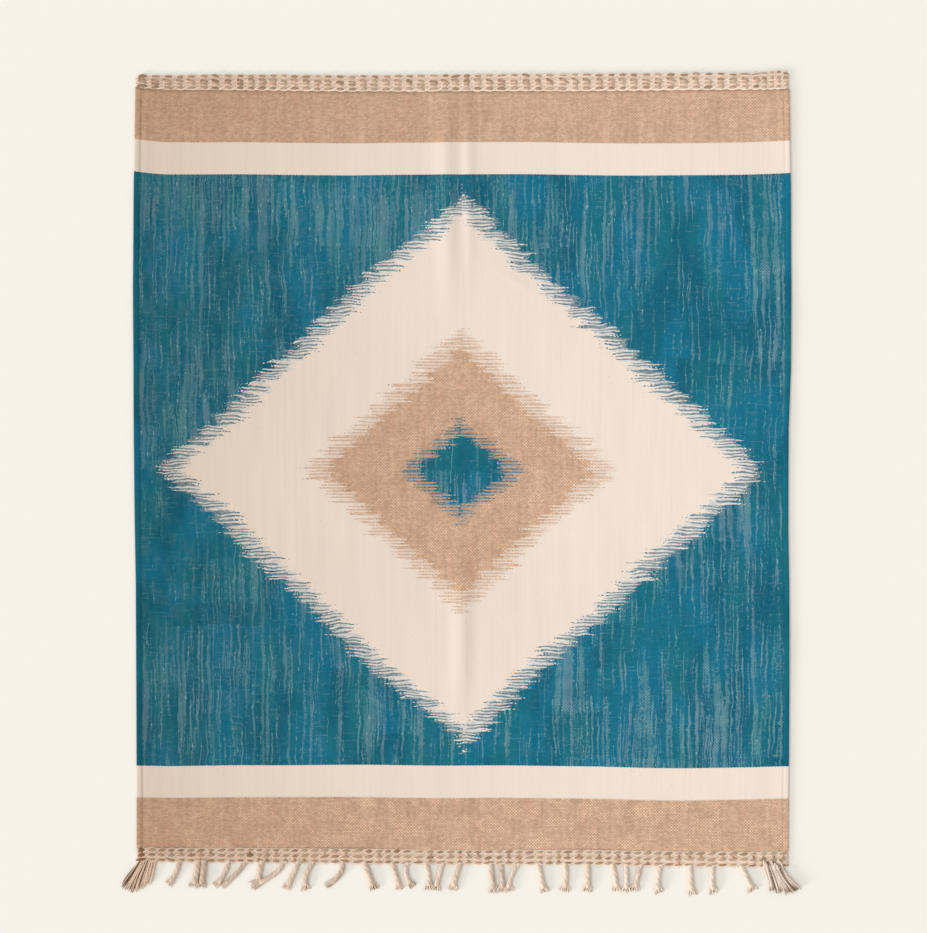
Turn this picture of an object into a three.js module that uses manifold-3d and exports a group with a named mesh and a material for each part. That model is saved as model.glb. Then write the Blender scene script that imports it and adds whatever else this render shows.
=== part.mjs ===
// Flat-woven berber kilim rug, laid out on a floor.
// Millimetres, +Z up, X across the cloth, +Y towards the end that has no fringe.
// The origin lies on the floor, under the cloth's centreline and midway along the whole length.

import * as THREE from 'three';
import { mergeVertices } from 'three/addons/utils/BufferGeometryUtils.js';
import Module from 'manifold-3d';

const wasm = await Module();
wasm.setup();

// Driving sizes of the cloth
const CLOTH_WIDTH = 2500;
const FIELD_LENGTH = 2905;
const FIELD_CENTRE_Y = 46;
const FIELD_THICKNESS = 5;

// Selvedge cord: a slightly raised cord woven into each long edge, with a groove beside it
const SELVEDGE_WIDTH = 22;
const SELVEDGE_CREST = 6.4;
const SELVEDGE_EDGE = 4;
const SELVEDGE_GROOVE = 4.2;

// End bands: rows of plaited stitches across the cloth
const PLAIN_BAND_WIDTH = 60.5;
const FRINGED_BAND_WIDTH = 58.5;
const BAND_CLEARANCE = 0.3;
const PLAIN_STITCHES_PER_ROW = 58;
const FRINGED_STITCHES_PER_ROW = 65;
const STITCH_DIP = 2.4;

// Fringe: cords of twisted warp ends that lie level on the floor
const ROOT_DEPTH = 14;
const ROOT_CLIMB = 1.5;
const ROOT_HEIGHT_SHARE = 0.42;
const CORD_HEIGHT_SHARE = 0.7;
const CORD_TOP_SHARE = 0.62;
const TIP_HEIGHT_SHARE = 0.34;
const ROOT_RISE_END = 0.3;
const FLARE_START = 0.68;
const FLARE_FULL = 0.9;

// Shares of a fold's length between which it has its full height
const FOLD_RISE_END = 0.25;
const FOLD_FALL_START = 0.5;

// Grid steps
const FIELD_STEPS_ALONG = 26;
const LEAST_STEP = 6;
const CORD_STATIONS = [-1, 0.05, 0.28, 0.5, 0.68, 0.84, 0.92, 1];

const HALF_WIDTH = CLOTH_WIDTH / 2;
const PLAIN_END_Y = FIELD_CENTRE_Y + FIELD_LENGTH / 2;
const FRINGED_END_Y = FIELD_CENTRE_Y - FIELD_LENGTH / 2;

// The lines that bound the two end bands, with their columns in the table of end waves
const LINES = {
  plainInner: { y: PLAIN_END_Y, column: 'plainInner' },
  plainOuter: { y: PLAIN_END_Y + PLAIN_BAND_WIDTH, column: 'plainOuter' },
  fringedInner: { y: FRINGED_END_Y, column: 'fringedInner' },
  fringedOuter: { y: FRINGED_END_Y - FRINGED_BAND_WIDTH, column: 'fringedOuter' },
};

// The long edges wander in and out: how far each lies outside its straight line, at a place along Y
const SIDE_WAVES = [
  { y: -1460, left: -3, right: -4 },
  { y: -1130, left: -3, right: -2 },
  { y: -830, left: -2, right: 0 },
  { y: -410, left: 0, right: 0 },
  { y: -180, left: 4, right: -4 },
  { y: 200, left: 8, right: -3 },
  { y: 430, left: 9, right: 6 },
  { y: 740, left: 11, right: 8 },
  { y: 1120, left: 8, right: 6 },
  { y: 1340, left: 4, right: 2 },
  { y: 1560, left: 0, right: -2 },
];

// The ends aren't straight either: how far along +Y each line of an end band is shifted, at a distance
// inwards from the left edge
const END_WAVES = [
  { inset: 0, plainOuter: 0, plainInner: 16, fringedInner: 8, fringedOuter: 16 },
  { inset: 50, plainOuter: -3, plainInner: 9, fringedInner: 8, fringedOuter: 16 },
  { inset: 120, plainOuter: -3, plainInner: 4, fringedInner: 6, fringedOuter: 14 },
  { inset: 400, plainOuter: 1, plainInner: 4, fringedInner: 8, fringedOuter: 11 },
  { inset: 830, plainOuter: -3, plainInner: -2, fringedInner: 4, fringedOuter: 7 },
  { inset: 1250, plainOuter: 1, plainInner: -1, fringedInner: 0, fringedOuter: 3 },
  { inset: 1680, plainOuter: 5, plainInner: 0, fringedInner: 0, fringedOuter: 1 },
  { inset: 2100, plainOuter: 7, plainInner: 4, fringedInner: -6, fringedOuter: -5 },
  { inset: 2360, plainOuter: 9, plainInner: 6, fringedInner: -8, fringedOuter: -7 },
  { inset: 2500, plainOuter: 17, plainInner: 7, fringedInner: -5, fringedOuter: -8 },
];

// Soft lengthwise folds, where the cloth lifts a little off the floor. Each is full height over its middle,
// dies away at its far end, and begins with a share of its height, which is not nothing beside an end band.
const FOLDS = [
  { fromX: -72, fromY: 1520, toX: -48, toY: 540, halfWidth: 62, height: 8, beginsWith: 0.5 },
  { fromX: 18, fromY: 1520, toX: 34, toY: 620, halfWidth: 36, height: 5, beginsWith: 0.5 },
  { fromX: 6, fromY: -160, toX: -14, toY: -1020, halfWidth: 60, height: 7, beginsWith: 0 },
];

// Height of a band's section: the share of its width from the field's side outwards, and the height there.
// Rows of stitches make the crests, and only a crest with dips goes down between two stitches.
const BAND_SECTION = [
  { share: 0, height: 5.5, dips: false },
  { share: 0.15, height: 11, dips: true },
  { share: 0.34, height: 7.5, dips: false },
  { share: 0.52, height: 11, dips: true },
  { share: 0.72, height: 7, dips: false },
  { share: 0.87, height: 8.5, dips: false },
  { share: 1, height: 4.5, dips: false },
];

// Fringe cords from left to right: place of the root across X, sideways lean of the tip, bow of the middle,
// reach of the tip past the band, width of the cord and width of its frayed tip
const CORDS = [
  { root: -1084, lean: -42, bow: 7, reach: 87, width: 17, tip: 22 },
  { root: -1016, lean: -16, bow: 2, reach: 97, width: 18, tip: 28 },
  { root: -982, lean: -13, bow: 0, reach: 97, width: 17, tip: 28 },
  { root: -897, lean: -52, bow: 10, reach: 92, width: 16, tip: 18 },
  { root: -831, lean: -90, bow: 6, reach: 92, width: 15, tip: 17 },
  { root: -769, lean: -10, bow: -1, reach: 52, width: 18, tip: 18 },
  { root: -688, lean: -122, bow: 26, reach: 90, width: 16, tip: 26 },
  { root: -630, lean: -46, bow: 2, reach: 100, width: 18, tip: 25 },
  { root: -573, lean: -23, bow: -14, reach: 102, width: 17, tip: 30 },
  { root: -461, lean: -63, bow: 22, reach: 86, width: 16, tip: 20 },
  { root: -374, lean: 35, bow: 2, reach: 100, width: 18, tip: 30 },
  { root: -268, lean: 28, bow: 2, reach: 98, width: 16, tip: 25 },
  { root: -212, lean: 25, bow: -15, reach: 88, width: 16, tip: 26 },
  { root: -139, lean: 5, bow: 5, reach: 98, width: 17, tip: 28 },
  { root: -77, lean: -22, bow: -2, reach: 98, width: 17, tip: 28 },
  { root: -10, lean: -27, bow: -3, reach: 98, width: 18, tip: 28 },
  { root: 108, lean: 6, bow: 1, reach: 107, width: 17, tip: 26 },
  { root: 147, lean: 3, bow: 2, reach: 107, width: 16, tip: 25 },
  { root: 212, lean: -30, bow: -12, reach: 100, width: 16, tip: 24 },
  { root: 292, lean: 23, bow: -2, reach: 105, width: 18, tip: 31 },
  { root: 392, lean: -6, bow: 6, reach: 101, width: 18, tip: 36 },
  { root: 479, lean: 0, bow: 1, reach: 101, width: 18, tip: 33 },
  { root: 573, lean: 14, bow: 4, reach: 98, width: 17, tip: 27 },
  { root: 625, lean: 0, bow: 3, reach: 101, width: 17, tip: 25 },
  { root: 682, lean: -22, bow: -2, reach: 93, width: 17, tip: 27 },
  { root: 758, lean: -5, bow: -8, reach: 104, width: 18, tip: 30 },
  { root: 872, lean: 10, bow: -4, reach: 109, width: 18, tip: 31 },
  { root: 958, lean: 5, bow: -5, reach: 102, width: 17, tip: 29 },
  { root: 1068, lean: 44, bow: 1, reach: 92, width: 17, tip: 34 },
];

// Corner tassels: dark locks and pale cords that spread from one root
const LEFT_TASSEL = [
  { root: -1235, lean: -70, bow: 2, reach: 100, width: 8, tip: 12 },
  { root: -1227, lean: -60, bow: 0, reach: 109, width: 8, tip: 12 },
  { root: -1219, lean: -50, bow: -1, reach: 116, width: 8, tip: 12 },
  { root: -1211, lean: -40, bow: -2, reach: 115, width: 8, tip: 12 },
  { root: -1197, lean: -33, bow: -1, reach: 105, width: 14, tip: 15 },
  { root: -1178, lean: -30, bow: 0, reach: 94, width: 17, tip: 20 },
];
const RIGHT_TASSEL = [
  { root: 1163, lean: 22, bow: 4, reach: 90, width: 16, tip: 18 },
  { root: 1183, lean: 32, bow: 3, reach: 94, width: 16, tip: 18 },
  { root: 1203, lean: 46, bow: 1, reach: 103, width: 15, tip: 17 },
  { root: 1222, lean: 60, bow: 0, reach: 92, width: 16, tip: 22 },
];

// Value of one column of a table at a place, on straight lines between the rows
function tableValue(table, place, column, at) {
  const next = table.findIndex((row) => row[place] > at);
  if (next === 0) {
    return table[0][column];
  }
  if (next === -1) {
    return table[table.length - 1][column];
  }
  const a = table[next - 1];
  const b = table[next];
  return THREE.MathUtils.mapLinear(at, a[place], b[place], a[column], b[column]);
}

// Place across X of the point that lies a distance inwards from the left edge of the even cloth
function acrossAt(inset, y) {
  const left = -HALF_WIDTH - tableValue(SIDE_WAVES, 'y', 'left', y);
  const right = HALF_WIDTH + tableValue(SIDE_WAVES, 'y', 'right', y);
  return THREE.MathUtils.lerp(left, right, inset / CLOTH_WIDTH);
}

// Place along Y of one line of an end band
function lineAt(line, inset) {
  return line.y + tableValue(END_WAVES, 'inset', line.column, inset);
}

// How far the cloth's underside lifts off the floor: each fold is a smooth ridge that dies away at its ends
function clothLift(x, y) {
  let lift = 0;
  for (const fold of FOLDS) {
    const run = new THREE.Vector2(fold.toX - fold.fromX, fold.toY - fold.fromY);
    const from = new THREE.Vector2(x - fold.fromX, y - fold.fromY);
    const share = from.dot(run) / run.lengthSq();
    const aside = Math.abs(from.cross(run)) / run.length();
    if (share > 0 && share < 1 && aside < fold.halfWidth) {
      const across = 0.5 + 0.5 * Math.cos((Math.PI * aside) / fold.halfWidth);
      const begin = THREE.MathUtils.lerp(fold.beginsWith, 1, THREE.MathUtils.smoothstep(share, 0, FOLD_RISE_END));
      const end = 1 - THREE.MathUtils.smoothstep(share, FOLD_FALL_START, 1);
      lift += fold.height * across * begin * end;
    }
  }
  return lift;
}

// Thickness of the cloth: even, but for the selvedge cord and the groove beside it
function clothThickness(fromEdge) {
  const section = [
    { at: 0, height: SELVEDGE_EDGE },
    { at: SELVEDGE_WIDTH / 2, height: SELVEDGE_CREST },
    { at: SELVEDGE_WIDTH, height: SELVEDGE_GROOVE },
    { at: SELVEDGE_WIDTH * 1.8, height: FIELD_THICKNESS },
  ];
  return tableValue(section, 'at', 'height', fromEdge);
}

// Insets from the left edge where the cloth's grid has its lines: the rows of the end waves, close lines in
// the selvedges and over the folds, and wide ones elsewhere
function linesAcross() {
  const selvedge = [0, SELVEDGE_WIDTH / 2, SELVEDGE_WIDTH, SELVEDGE_WIDTH * 1.8];
  const lines = [...selvedge, ...selvedge.map((inset) => CLOTH_WIDTH - inset)];
  lines.push(...END_WAVES.map((row) => row.inset));
  for (let inset = HALF_WIDTH - 140; inset <= HALF_WIDTH + 100; inset += 20) {
    lines.push(inset);
  }
  lines.push(260, 610, 980, 1460, 1890, 2240);
  return [...new Set(lines)].sort((a, b) => a - b);
}

// Closed mesh from a grid of upper points and a grid of lower points with the same rim
function closedSheet(upper, lower) {
  const rows = upper.length;
  const columns = upper[0].length;
  const positions = [];
  const indices = [];
  for (const layer of [upper, lower]) {
    for (const row of layer) {
      for (const point of row) {
        positions.push(point.x, point.y, point.z);
      }
    }
  }
  const top = (r, c) => r * columns + c;
  const bottom = (r, c) => rows * columns + r * columns + c;
  const quad = (a, b, c, d) => indices.push(a, b, c, a, c, d);
  for (let r = 0; r < rows - 1; r += 1) {
    for (let c = 0; c < columns - 1; c += 1) {
      quad(top(r, c), top(r, c + 1), top(r + 1, c + 1), top(r + 1, c));
      quad(bottom(r, c), bottom(r + 1, c), bottom(r + 1, c + 1), bottom(r, c + 1));
    }
    quad(top(r, 0), top(r + 1, 0), bottom(r + 1, 0), bottom(r, 0));
    quad(top(r + 1, columns - 1), top(r, columns - 1), bottom(r, columns - 1), bottom(r + 1, columns - 1));
  }
  for (let c = 0; c < columns - 1; c += 1) {
    quad(top(0, c + 1), top(0, c), bottom(0, c), bottom(0, c + 1));
    quad(top(rows - 1, c), top(rows - 1, c + 1), bottom(rows - 1, c + 1), bottom(rows - 1, c));
  }
  const geometry = new THREE.BufferGeometry();
  geometry.setAttribute('position', new THREE.Float32BufferAttribute(positions, 3));
  geometry.setIndex(indices);
  geometry.computeVertexNormals();
  return geometry;
}

// The field: one sheet whose rim follows the wandering edges and whose middle lifts in the folds
function fieldGeometry() {
  const upper = [];
  const lower = [];
  const across = linesAcross();
  for (let r = 0; r <= FIELD_STEPS_ALONG; r += 1) {
    const share = r / FIELD_STEPS_ALONG;
    const evenY = THREE.MathUtils.lerp(LINES.fringedInner.y, LINES.plainInner.y, share);
    const upperRow = [];
    const lowerRow = [];
    for (const inset of across) {
      const x = acrossAt(inset, evenY);
      const start = lineAt(LINES.fringedInner, inset) + BAND_CLEARANCE;
      const end = lineAt(LINES.plainInner, inset) - BAND_CLEARANCE;
      const y = THREE.MathUtils.lerp(start, end, share);
      const lift = clothLift(x, y);
      const thickness = clothThickness(Math.min(inset, CLOTH_WIDTH - inset));
      upperRow.push(new THREE.Vector3(x, y, lift + thickness));
      lowerRow.push(new THREE.Vector3(x, y, lift));
    }
    upper.push(upperRow);
    lower.push(lowerRow);
  }
  return closedSheet(upper, lower);
}

// Closed mesh from rings of points that follow each other: sides between the rings and a cap at each end.
// The rings run anticlockwise as seen from the last ring.
function loftedGeometry(rings, flatRing) {
  const count = rings[0].length;
  const last = (rings.length - 1) * count;
  const positions = rings.flat().flatMap((point) => [point.x, point.y, point.z]);
  const indices = [];
  for (let k = 0; k < last; k += count) {
    for (let side = 0; side < count; side += 1) {
      const a = k + side;
      const b = k + ((side + 1) % count);
      indices.push(a, b, b + count, a, b + count, a + count);
    }
  }
  for (const [a, b, c] of THREE.ShapeUtils.triangulateShape(flatRing, [])) {
    indices.push(c, b, a);
    indices.push(last + a, last + b, last + c);
  }
  const geometry = new THREE.BufferGeometry();
  geometry.setAttribute('position', new THREE.Float32BufferAttribute(positions, 3));
  geometry.setIndex(indices);
  geometry.computeVertexNormals();
  return geometry;
}

// A band: its section is carried across the cloth, with each stitch a lump and a dip between two stitches.
// It has a ring of points at every stitch, between every two stitches and at every row of the end waves.
// The underside is flat on the floor.
function bandGeometry(stitches, innerLine, outerLine) {
  const section = BAND_SECTION.map((place) => ({ ...place }));
  section.push({ share: 1, height: 0, dips: false });
  section.push({ share: 0, height: 0, dips: false });
  if (outerLine.y > innerLine.y) {
    section.reverse();
  }
  const pitch = CLOTH_WIDTH / stitches;
  const insets = END_WAVES.map((row) => row.inset);
  for (let step = 1; step < 2 * stitches; step += 1) {
    const inset = (step * pitch) / 2;
    if (!insets.some((other) => Math.abs(other - inset) < LEAST_STEP)) {
      insets.push(inset);
    }
  }
  insets.sort((a, b) => a - b);
  const rings = insets.map((inset) => {
    const x = acrossAt(inset, innerLine.y);
    const phase = (inset / pitch) % 1;
    const dip = STITCH_DIP * Math.abs(2 * phase - 1);
    return section.map((place) => {
      const y = THREE.MathUtils.lerp(lineAt(innerLine, inset), lineAt(outerLine, inset), place.share);
      return new THREE.Vector3(x, y, place.height - (place.dips ? dip : 0));
    });
  });
  const flatRing = rings[0].map((point) => new THREE.Vector2(point.y, point.z));
  return loftedGeometry(rings, flatRing);
}

// A fringe cord: a four-sided section with a level underside, carried from inside the band to the frayed tip.
// Inside the band the underside climbs a little, so that only the band's own underside meets the floor there.
function cordGeometry({ root, lean, bow, reach, width, tip }) {
  const startY = lineAt(LINES.fringedOuter, root + HALF_WIDTH);
  const centre = (s) => {
    const x = root + lean * Math.max(s, 0) + bow * 4 * Math.max(s, 0) * (1 - s);
    const y = startY - (s < 0 ? s * ROOT_DEPTH : s * reach);
    return new THREE.Vector2(x, y);
  };
  const rings = CORD_STATIONS.map((s) => {
    const here = centre(s);
    const along = centre(Math.min(s + 0.05, 1)).sub(centre(Math.max(s - 0.05, -1))).normalize();
    const aside = new THREE.Vector2(-along.y, along.x);
    const flare = THREE.MathUtils.smoothstep(s, FLARE_START, FLARE_FULL);
    const half = THREE.MathUtils.lerp(width, tip, flare) / 2;
    const rise = THREE.MathUtils.smoothstep(s, 0, ROOT_RISE_END);
    const body = width * THREE.MathUtils.lerp(ROOT_HEIGHT_SHARE, CORD_HEIGHT_SHARE, rise);
    const height = THREE.MathUtils.lerp(body, tip * TIP_HEIGHT_SHARE, flare);
    const floor = s < 0 ? ROOT_CLIMB : 0;
    const corner = (out, up) => new THREE.Vector3(here.x + aside.x * out, here.y + aside.y * out, up);
    const top = half * CORD_TOP_SHARE;
    return [corner(-half, floor), corner(half, floor), corner(top, height), corner(-top, height)];
  });
  const flatRing = rings[0].map((point) => new THREE.Vector2(point.x, point.z));
  return loftedGeometry(rings, flatRing);
}

// A closed solid from a geometry, for joining
function solidOf(geometry) {
  const bare = geometry.clone();
  bare.deleteAttribute('normal');
  bare.deleteAttribute('uv');
  const merged = mergeVertices(bare);
  const solid = new wasm.Mesh({
    numProp: 3,
    vertProperties: new Float32Array(merged.attributes.position.array),
    triVerts: new Uint32Array(merged.index.array),
  });
  return new wasm.Manifold(solid);
}

// A geometry from a joined solid
function geometryOf(solid) {
  const mesh = solid.getMesh();
  const geometry = new THREE.BufferGeometry();
  geometry.setAttribute('position', new THREE.BufferAttribute(mesh.vertProperties, 3));
  geometry.setIndex(new THREE.BufferAttribute(mesh.triVerts, 1));
  geometry.computeVertexNormals();
  return geometry;
}

function fringedBandGeometry() {
  const band = bandGeometry(FRINGED_STITCHES_PER_ROW, LINES.fringedInner, LINES.fringedOuter);
  const strands = [...LEFT_TASSEL, ...CORDS, ...RIGHT_TASSEL];
  const joined = strands.reduce((solid, strand) => solid.add(solidOf(cordGeometry(strand))), solidOf(band));
  return geometryOf(joined);
}

function named(name, geometry, colour) {
  const material = new THREE.MeshStandardMaterial({ color: colour, roughness: 0.95, metalness: 0 });
  const mesh = new THREE.Mesh(geometry, material);
  mesh.name = name;
  return mesh;
}

const plainBand = bandGeometry(PLAIN_STITCHES_PER_ROW, LINES.plainInner, LINES.plainOuter);

const rug = new THREE.Group();
rug.add(named('rug_field', fieldGeometry(), 0x34738a));
rug.add(named('end_band_plain', plainBand, 0xcdab8a));
rug.add(named('end_band_fringed', fringedBandGeometry(), 0xd5b799));

export default rug;
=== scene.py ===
"""Dresses a flat-woven berber kilim rug, laid out on a pale floor, around its solid model.

Metres, +Z up, X across the cloth, +Y towards the end that has no fringe. The origin lies on the floor,
under the cloth's centreline and midway along the whole length.
"""

import logging
import math
from collections.abc import Callable
from dataclasses import dataclass, field
from enum import Enum

import bpy
import numpy as np
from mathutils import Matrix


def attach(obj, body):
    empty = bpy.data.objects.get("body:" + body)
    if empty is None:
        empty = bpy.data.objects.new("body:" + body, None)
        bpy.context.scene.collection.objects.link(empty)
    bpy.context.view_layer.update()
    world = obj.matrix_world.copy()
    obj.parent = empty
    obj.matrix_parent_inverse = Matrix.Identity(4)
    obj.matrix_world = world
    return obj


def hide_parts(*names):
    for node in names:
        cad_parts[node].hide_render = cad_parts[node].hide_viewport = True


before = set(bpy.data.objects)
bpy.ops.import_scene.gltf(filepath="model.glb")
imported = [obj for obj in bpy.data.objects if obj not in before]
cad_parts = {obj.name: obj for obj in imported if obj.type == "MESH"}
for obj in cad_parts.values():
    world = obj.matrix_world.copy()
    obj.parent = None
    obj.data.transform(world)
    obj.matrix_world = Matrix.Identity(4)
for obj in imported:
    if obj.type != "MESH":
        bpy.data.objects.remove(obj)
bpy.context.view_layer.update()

log = logging.getLogger("kilim")

BODY = "root"
TAU = 2 * math.pi
WHITE = (1, 1, 1, 1)
# Tint that makes the wool darker and warmer towards the left edge.
LEFTWARD_DARKENING = (0.805, 0.764, 0.722, 1)
ROSY = (1.05, 0.94, 0.93, 1)
OLIVE = (0.98, 0.99, 0.88, 1)


def smooth(value: np.ndarray, low: float, high: float) -> np.ndarray:
    """Smooth step from 0 at low to 1 at high: t squared times three less two t."""
    t = np.clip((value - low) / (high - low), 0, 1)
    return t * t * (3 - 2 * t)


def slow_noise(a: np.ndarray, b: "np.ndarray | float", cell: tuple[float, float], seed: int) -> np.ndarray:
    """Slow noise from -1 to 1: random numbers on a grid, blended by smooth steps between its corners.

    Args:
        a: First coordinate.
        b: Second coordinate.
        cell: Size of a grid cell along each coordinate.
        seed: Seed of the random numbers.

    Returns:
        The noise at the coordinates.
    """
    count = 64
    grid = np.random.default_rng(seed).uniform(-1, 1, (count, count))
    p = a / cell[0] + count // 2
    q = b / cell[1] + count // 2
    i = np.floor(p).astype(int)
    j = np.floor(q).astype(int)
    s = smooth(p - i, 0, 1)
    t = smooth(q - j, 0, 1)
    near, far = (
        grid[i % count, side % count] * (1 - s) + grid[(i + 1) % count, side % count] * s
        for side in (j, j + 1)
    )
    return near * (1 - t) + far * t


def unit(vectors: np.ndarray) -> np.ndarray:
    """Vectors of length one, along the last axis."""
    return vectors / np.maximum(np.linalg.norm(vectors, axis=-1, keepdims=True), 1e-12)


def path_frames(paths: np.ndarray) -> tuple[np.ndarray, np.ndarray]:
    """Directions across paths: sideways is the run's cross product with up, and the other is upwards.

    Args:
        paths: Points, in the shape (paths, stations, 3).

    Returns:
        The sideways and the upward directions.
    """
    run = unit(np.gradient(paths, axis=1))
    sideways = unit(np.cross(run, np.array([0.0, 0.0, 1.0])))
    return sideways, np.cross(sideways, run)


# The cloth's outline, folds and creases


@dataclass(frozen=True)
class SideWave:
    """How far each long edge lies outside its straight line, at a place along Y."""

    y: float
    left: float
    right: float


@dataclass(frozen=True)
class EndWave:
    """How far along +Y each line of an end band is shifted, at a distance inwards from the left edge."""

    inset: float
    plain_outer: float
    plain_inner: float
    fringed_inner: float
    fringed_outer: float


@dataclass(frozen=True)
class Crease:
    """A small ridge, or a trough where its height is below nothing, that dies away at both ends."""

    from_x: float
    from_y: float
    to_x: float
    to_y: float
    half_width: float
    height: float

    def ridge(self, x: np.ndarray, y: np.ndarray) -> tuple[np.ndarray, np.ndarray]:
        """Share of the way along the line, and a raised cosine of the distance beside it.

        Args:
            x: Places across X.
            y: Places along Y.

        Returns:
            The shares and the raised cosines.
        """
        run_x = self.to_x - self.from_x
        run_y = self.to_y - self.from_y
        run = math.hypot(run_x, run_y)
        share = ((x - self.from_x) * run_x + (y - self.from_y) * run_y) / run**2
        aside = np.abs((x - self.from_x) * run_y - (y - self.from_y) * run_x) / run
        return share, 0.5 + 0.5 * np.cos(math.pi * np.clip(aside / self.half_width, 0, 1))

    def lift(self, x: np.ndarray, y: np.ndarray) -> np.ndarray:
        """Lift of the cloth: the raised cosine across, times a half sine along."""
        share, across = self.ridge(x, y)
        return self.height * across * np.sin(math.pi * np.clip(share, 0, 1))


@dataclass(frozen=True)
class Fold(Crease):
    """A soft lengthwise fold, full height over its middle, that begins with a share of its height."""

    begins_with: float
    rise_end: float = 0.25
    fall_start: float = 0.5

    def lift(self, x: np.ndarray, y: np.ndarray) -> np.ndarray:
        """Lift of the cloth: the raised cosine across, faded by smooth steps at both ends.

        Args:
            x: Places across X.
            y: Places along Y.

        Returns:
            The lifts.
        """
        share, across = self.ridge(x, y)
        begin = self.begins_with + (1 - self.begins_with) * smooth(share, 0, self.rise_end)
        end = 1 - smooth(share, self.fall_start, 1)
        return np.where((share > 0) & (share < 1), self.height * across * begin * end, 0)


SIDE_WAVES = (
    SideWave(y=-1.460, left=-0.003, right=-0.004),
    SideWave(y=-1.130, left=-0.003, right=-0.002),
    SideWave(y=-0.830, left=-0.002, right=0.000),
    SideWave(y=-0.410, left=0.000, right=0.000),
    SideWave(y=-0.180, left=0.004, right=-0.004),
    SideWave(y=0.200, left=0.008, right=-0.003),
    SideWave(y=0.430, left=0.009, right=0.006),
    SideWave(y=0.740, left=0.011, right=0.008),
    SideWave(y=1.120, left=0.008, right=0.006),
    SideWave(y=1.340, left=0.004, right=0.002),
    SideWave(y=1.560, left=0.000, right=-0.002),
)

END_WAVES = (
    EndWave(0.000, plain_outer=0.000, plain_inner=0.016, fringed_inner=0.008, fringed_outer=0.016),
    EndWave(0.050, plain_outer=-0.003, plain_inner=0.009, fringed_inner=0.008, fringed_outer=0.016),
    EndWave(0.120, plain_outer=-0.003, plain_inner=0.004, fringed_inner=0.006, fringed_outer=0.014),
    EndWave(0.400, plain_outer=0.001, plain_inner=0.004, fringed_inner=0.008, fringed_outer=0.011),
    EndWave(0.830, plain_outer=-0.003, plain_inner=-0.002, fringed_inner=0.004, fringed_outer=0.007),
    EndWave(1.250, plain_outer=0.001, plain_inner=-0.001, fringed_inner=0.000, fringed_outer=0.003),
    EndWave(1.680, plain_outer=0.005, plain_inner=0.000, fringed_inner=0.000, fringed_outer=0.001),
    EndWave(2.100, plain_outer=0.007, plain_inner=0.004, fringed_inner=-0.006, fringed_outer=-0.005),
    EndWave(2.360, plain_outer=0.009, plain_inner=0.006, fringed_inner=-0.008, fringed_outer=-0.007),
    EndWave(2.500, plain_outer=0.017, plain_inner=0.007, fringed_inner=-0.005, fringed_outer=-0.008),
)

FOLDS = (
    Fold(-0.072, 1.520, -0.048, 0.540, half_width=0.062, height=0.008, begins_with=0.5),
    Fold(0.018, 1.520, 0.034, 0.620, half_width=0.036, height=0.005, begins_with=0.5),
    Fold(0.006, -0.160, -0.014, -1.020, half_width=0.060, height=0.007, begins_with=0.0),
)

CREASES = (
    Crease(-0.155, 1.520, -0.150, 1.000, half_width=0.024, height=-0.0020),
    Crease(0.113, 0.830, 0.300, 0.706, half_width=0.012, height=0.0026),
    Crease(0.909, 0.680, 1.051, 0.557, half_width=0.020, height=0.0018),
    Crease(0.775, 0.328, 0.871, 0.326, half_width=0.014, height=-0.0014),
    Crease(-0.392, 0.527, -0.270, 0.634, half_width=0.012, height=0.0018),
    Crease(-0.921, -0.266, -0.748, -0.270, half_width=0.010, height=0.0014),
    Crease(-0.080, -0.350, 0.030, -0.362, half_width=0.012, height=0.0020),
    Crease(-0.060, -0.420, -0.004, -0.500, half_width=0.014, height=-0.0016),
    Crease(-0.545, -0.993, -0.392, -1.012, half_width=0.011, height=0.0022),
    Crease(-0.520, -1.026, -0.380, -1.043, half_width=0.010, height=0.0018),
    Crease(0.764, -0.687, 1.100, -0.690, half_width=0.012, height=0.0016),
    Crease(0.182, -1.004, 0.335, -1.138, half_width=0.013, height=0.0020),
)


class Line(Enum):
    """The lines that bound the two end bands, by their columns in the table of end waves."""

    PLAIN_OUTER = "plain_outer"
    PLAIN_INNER = "plain_inner"
    FRINGED_INNER = "fringed_inner"
    FRINGED_OUTER = "fringed_outer"


def table_value(rows: tuple, place: str, column: str, at: np.ndarray) -> np.ndarray:
    """Values of a table's column, on straight lines between the rows' places."""
    return np.interp(at, [getattr(row, place) for row in rows], [getattr(row, column) for row in rows])


@dataclass(frozen=True)
class Cloth:
    """The even cloth and its wandering edges. An inset is a distance inwards from the even left edge."""

    width: float = 2.5
    length: float = 2.905
    centre_y: float = 0.046
    plain_band: float = 0.0605
    fringed_band: float = 0.0585
    clearance: float = 0.0003

    @property
    def half_width(self) -> float:
        """Half the even width."""
        return self.width / 2

    def line_y(self, line: Line) -> float:
        """Place along Y of a line of an end band, before the end waves shift it.

        Args:
            line: The line.

        Returns:
            The place.
        """
        plain_end = self.centre_y + self.length / 2
        fringed_end = self.centre_y - self.length / 2
        return {
            Line.PLAIN_OUTER: plain_end + self.plain_band,
            Line.PLAIN_INNER: plain_end,
            Line.FRINGED_INNER: fringed_end,
            Line.FRINGED_OUTER: fringed_end - self.fringed_band,
        }[line]

    def line_at(self, line: Line, inset: np.ndarray) -> np.ndarray:
        """Places along Y of a line of an end band, as it wanders."""
        return self.line_y(line) + table_value(END_WAVES, "inset", line.value, inset)

    def across_at(self, inset: np.ndarray, y: np.ndarray) -> np.ndarray:
        """Places across X: the inset's share of the width between the two wandering edges.

        Args:
            inset: The insets.
            y: Places along Y.

        Returns:
            The places across X.
        """
        left = -self.half_width - table_value(SIDE_WAVES, "y", "left", y)
        right = self.half_width + table_value(SIDE_WAVES, "y", "right", y)
        return left + (right - left) * inset / self.width


# Meshes


def quads_of(*corners: np.ndarray) -> np.ndarray:
    """Quads from four arrays of corner numbers of the same shape."""
    return np.stack(corners, axis=-1).reshape(-1, 4)


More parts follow.
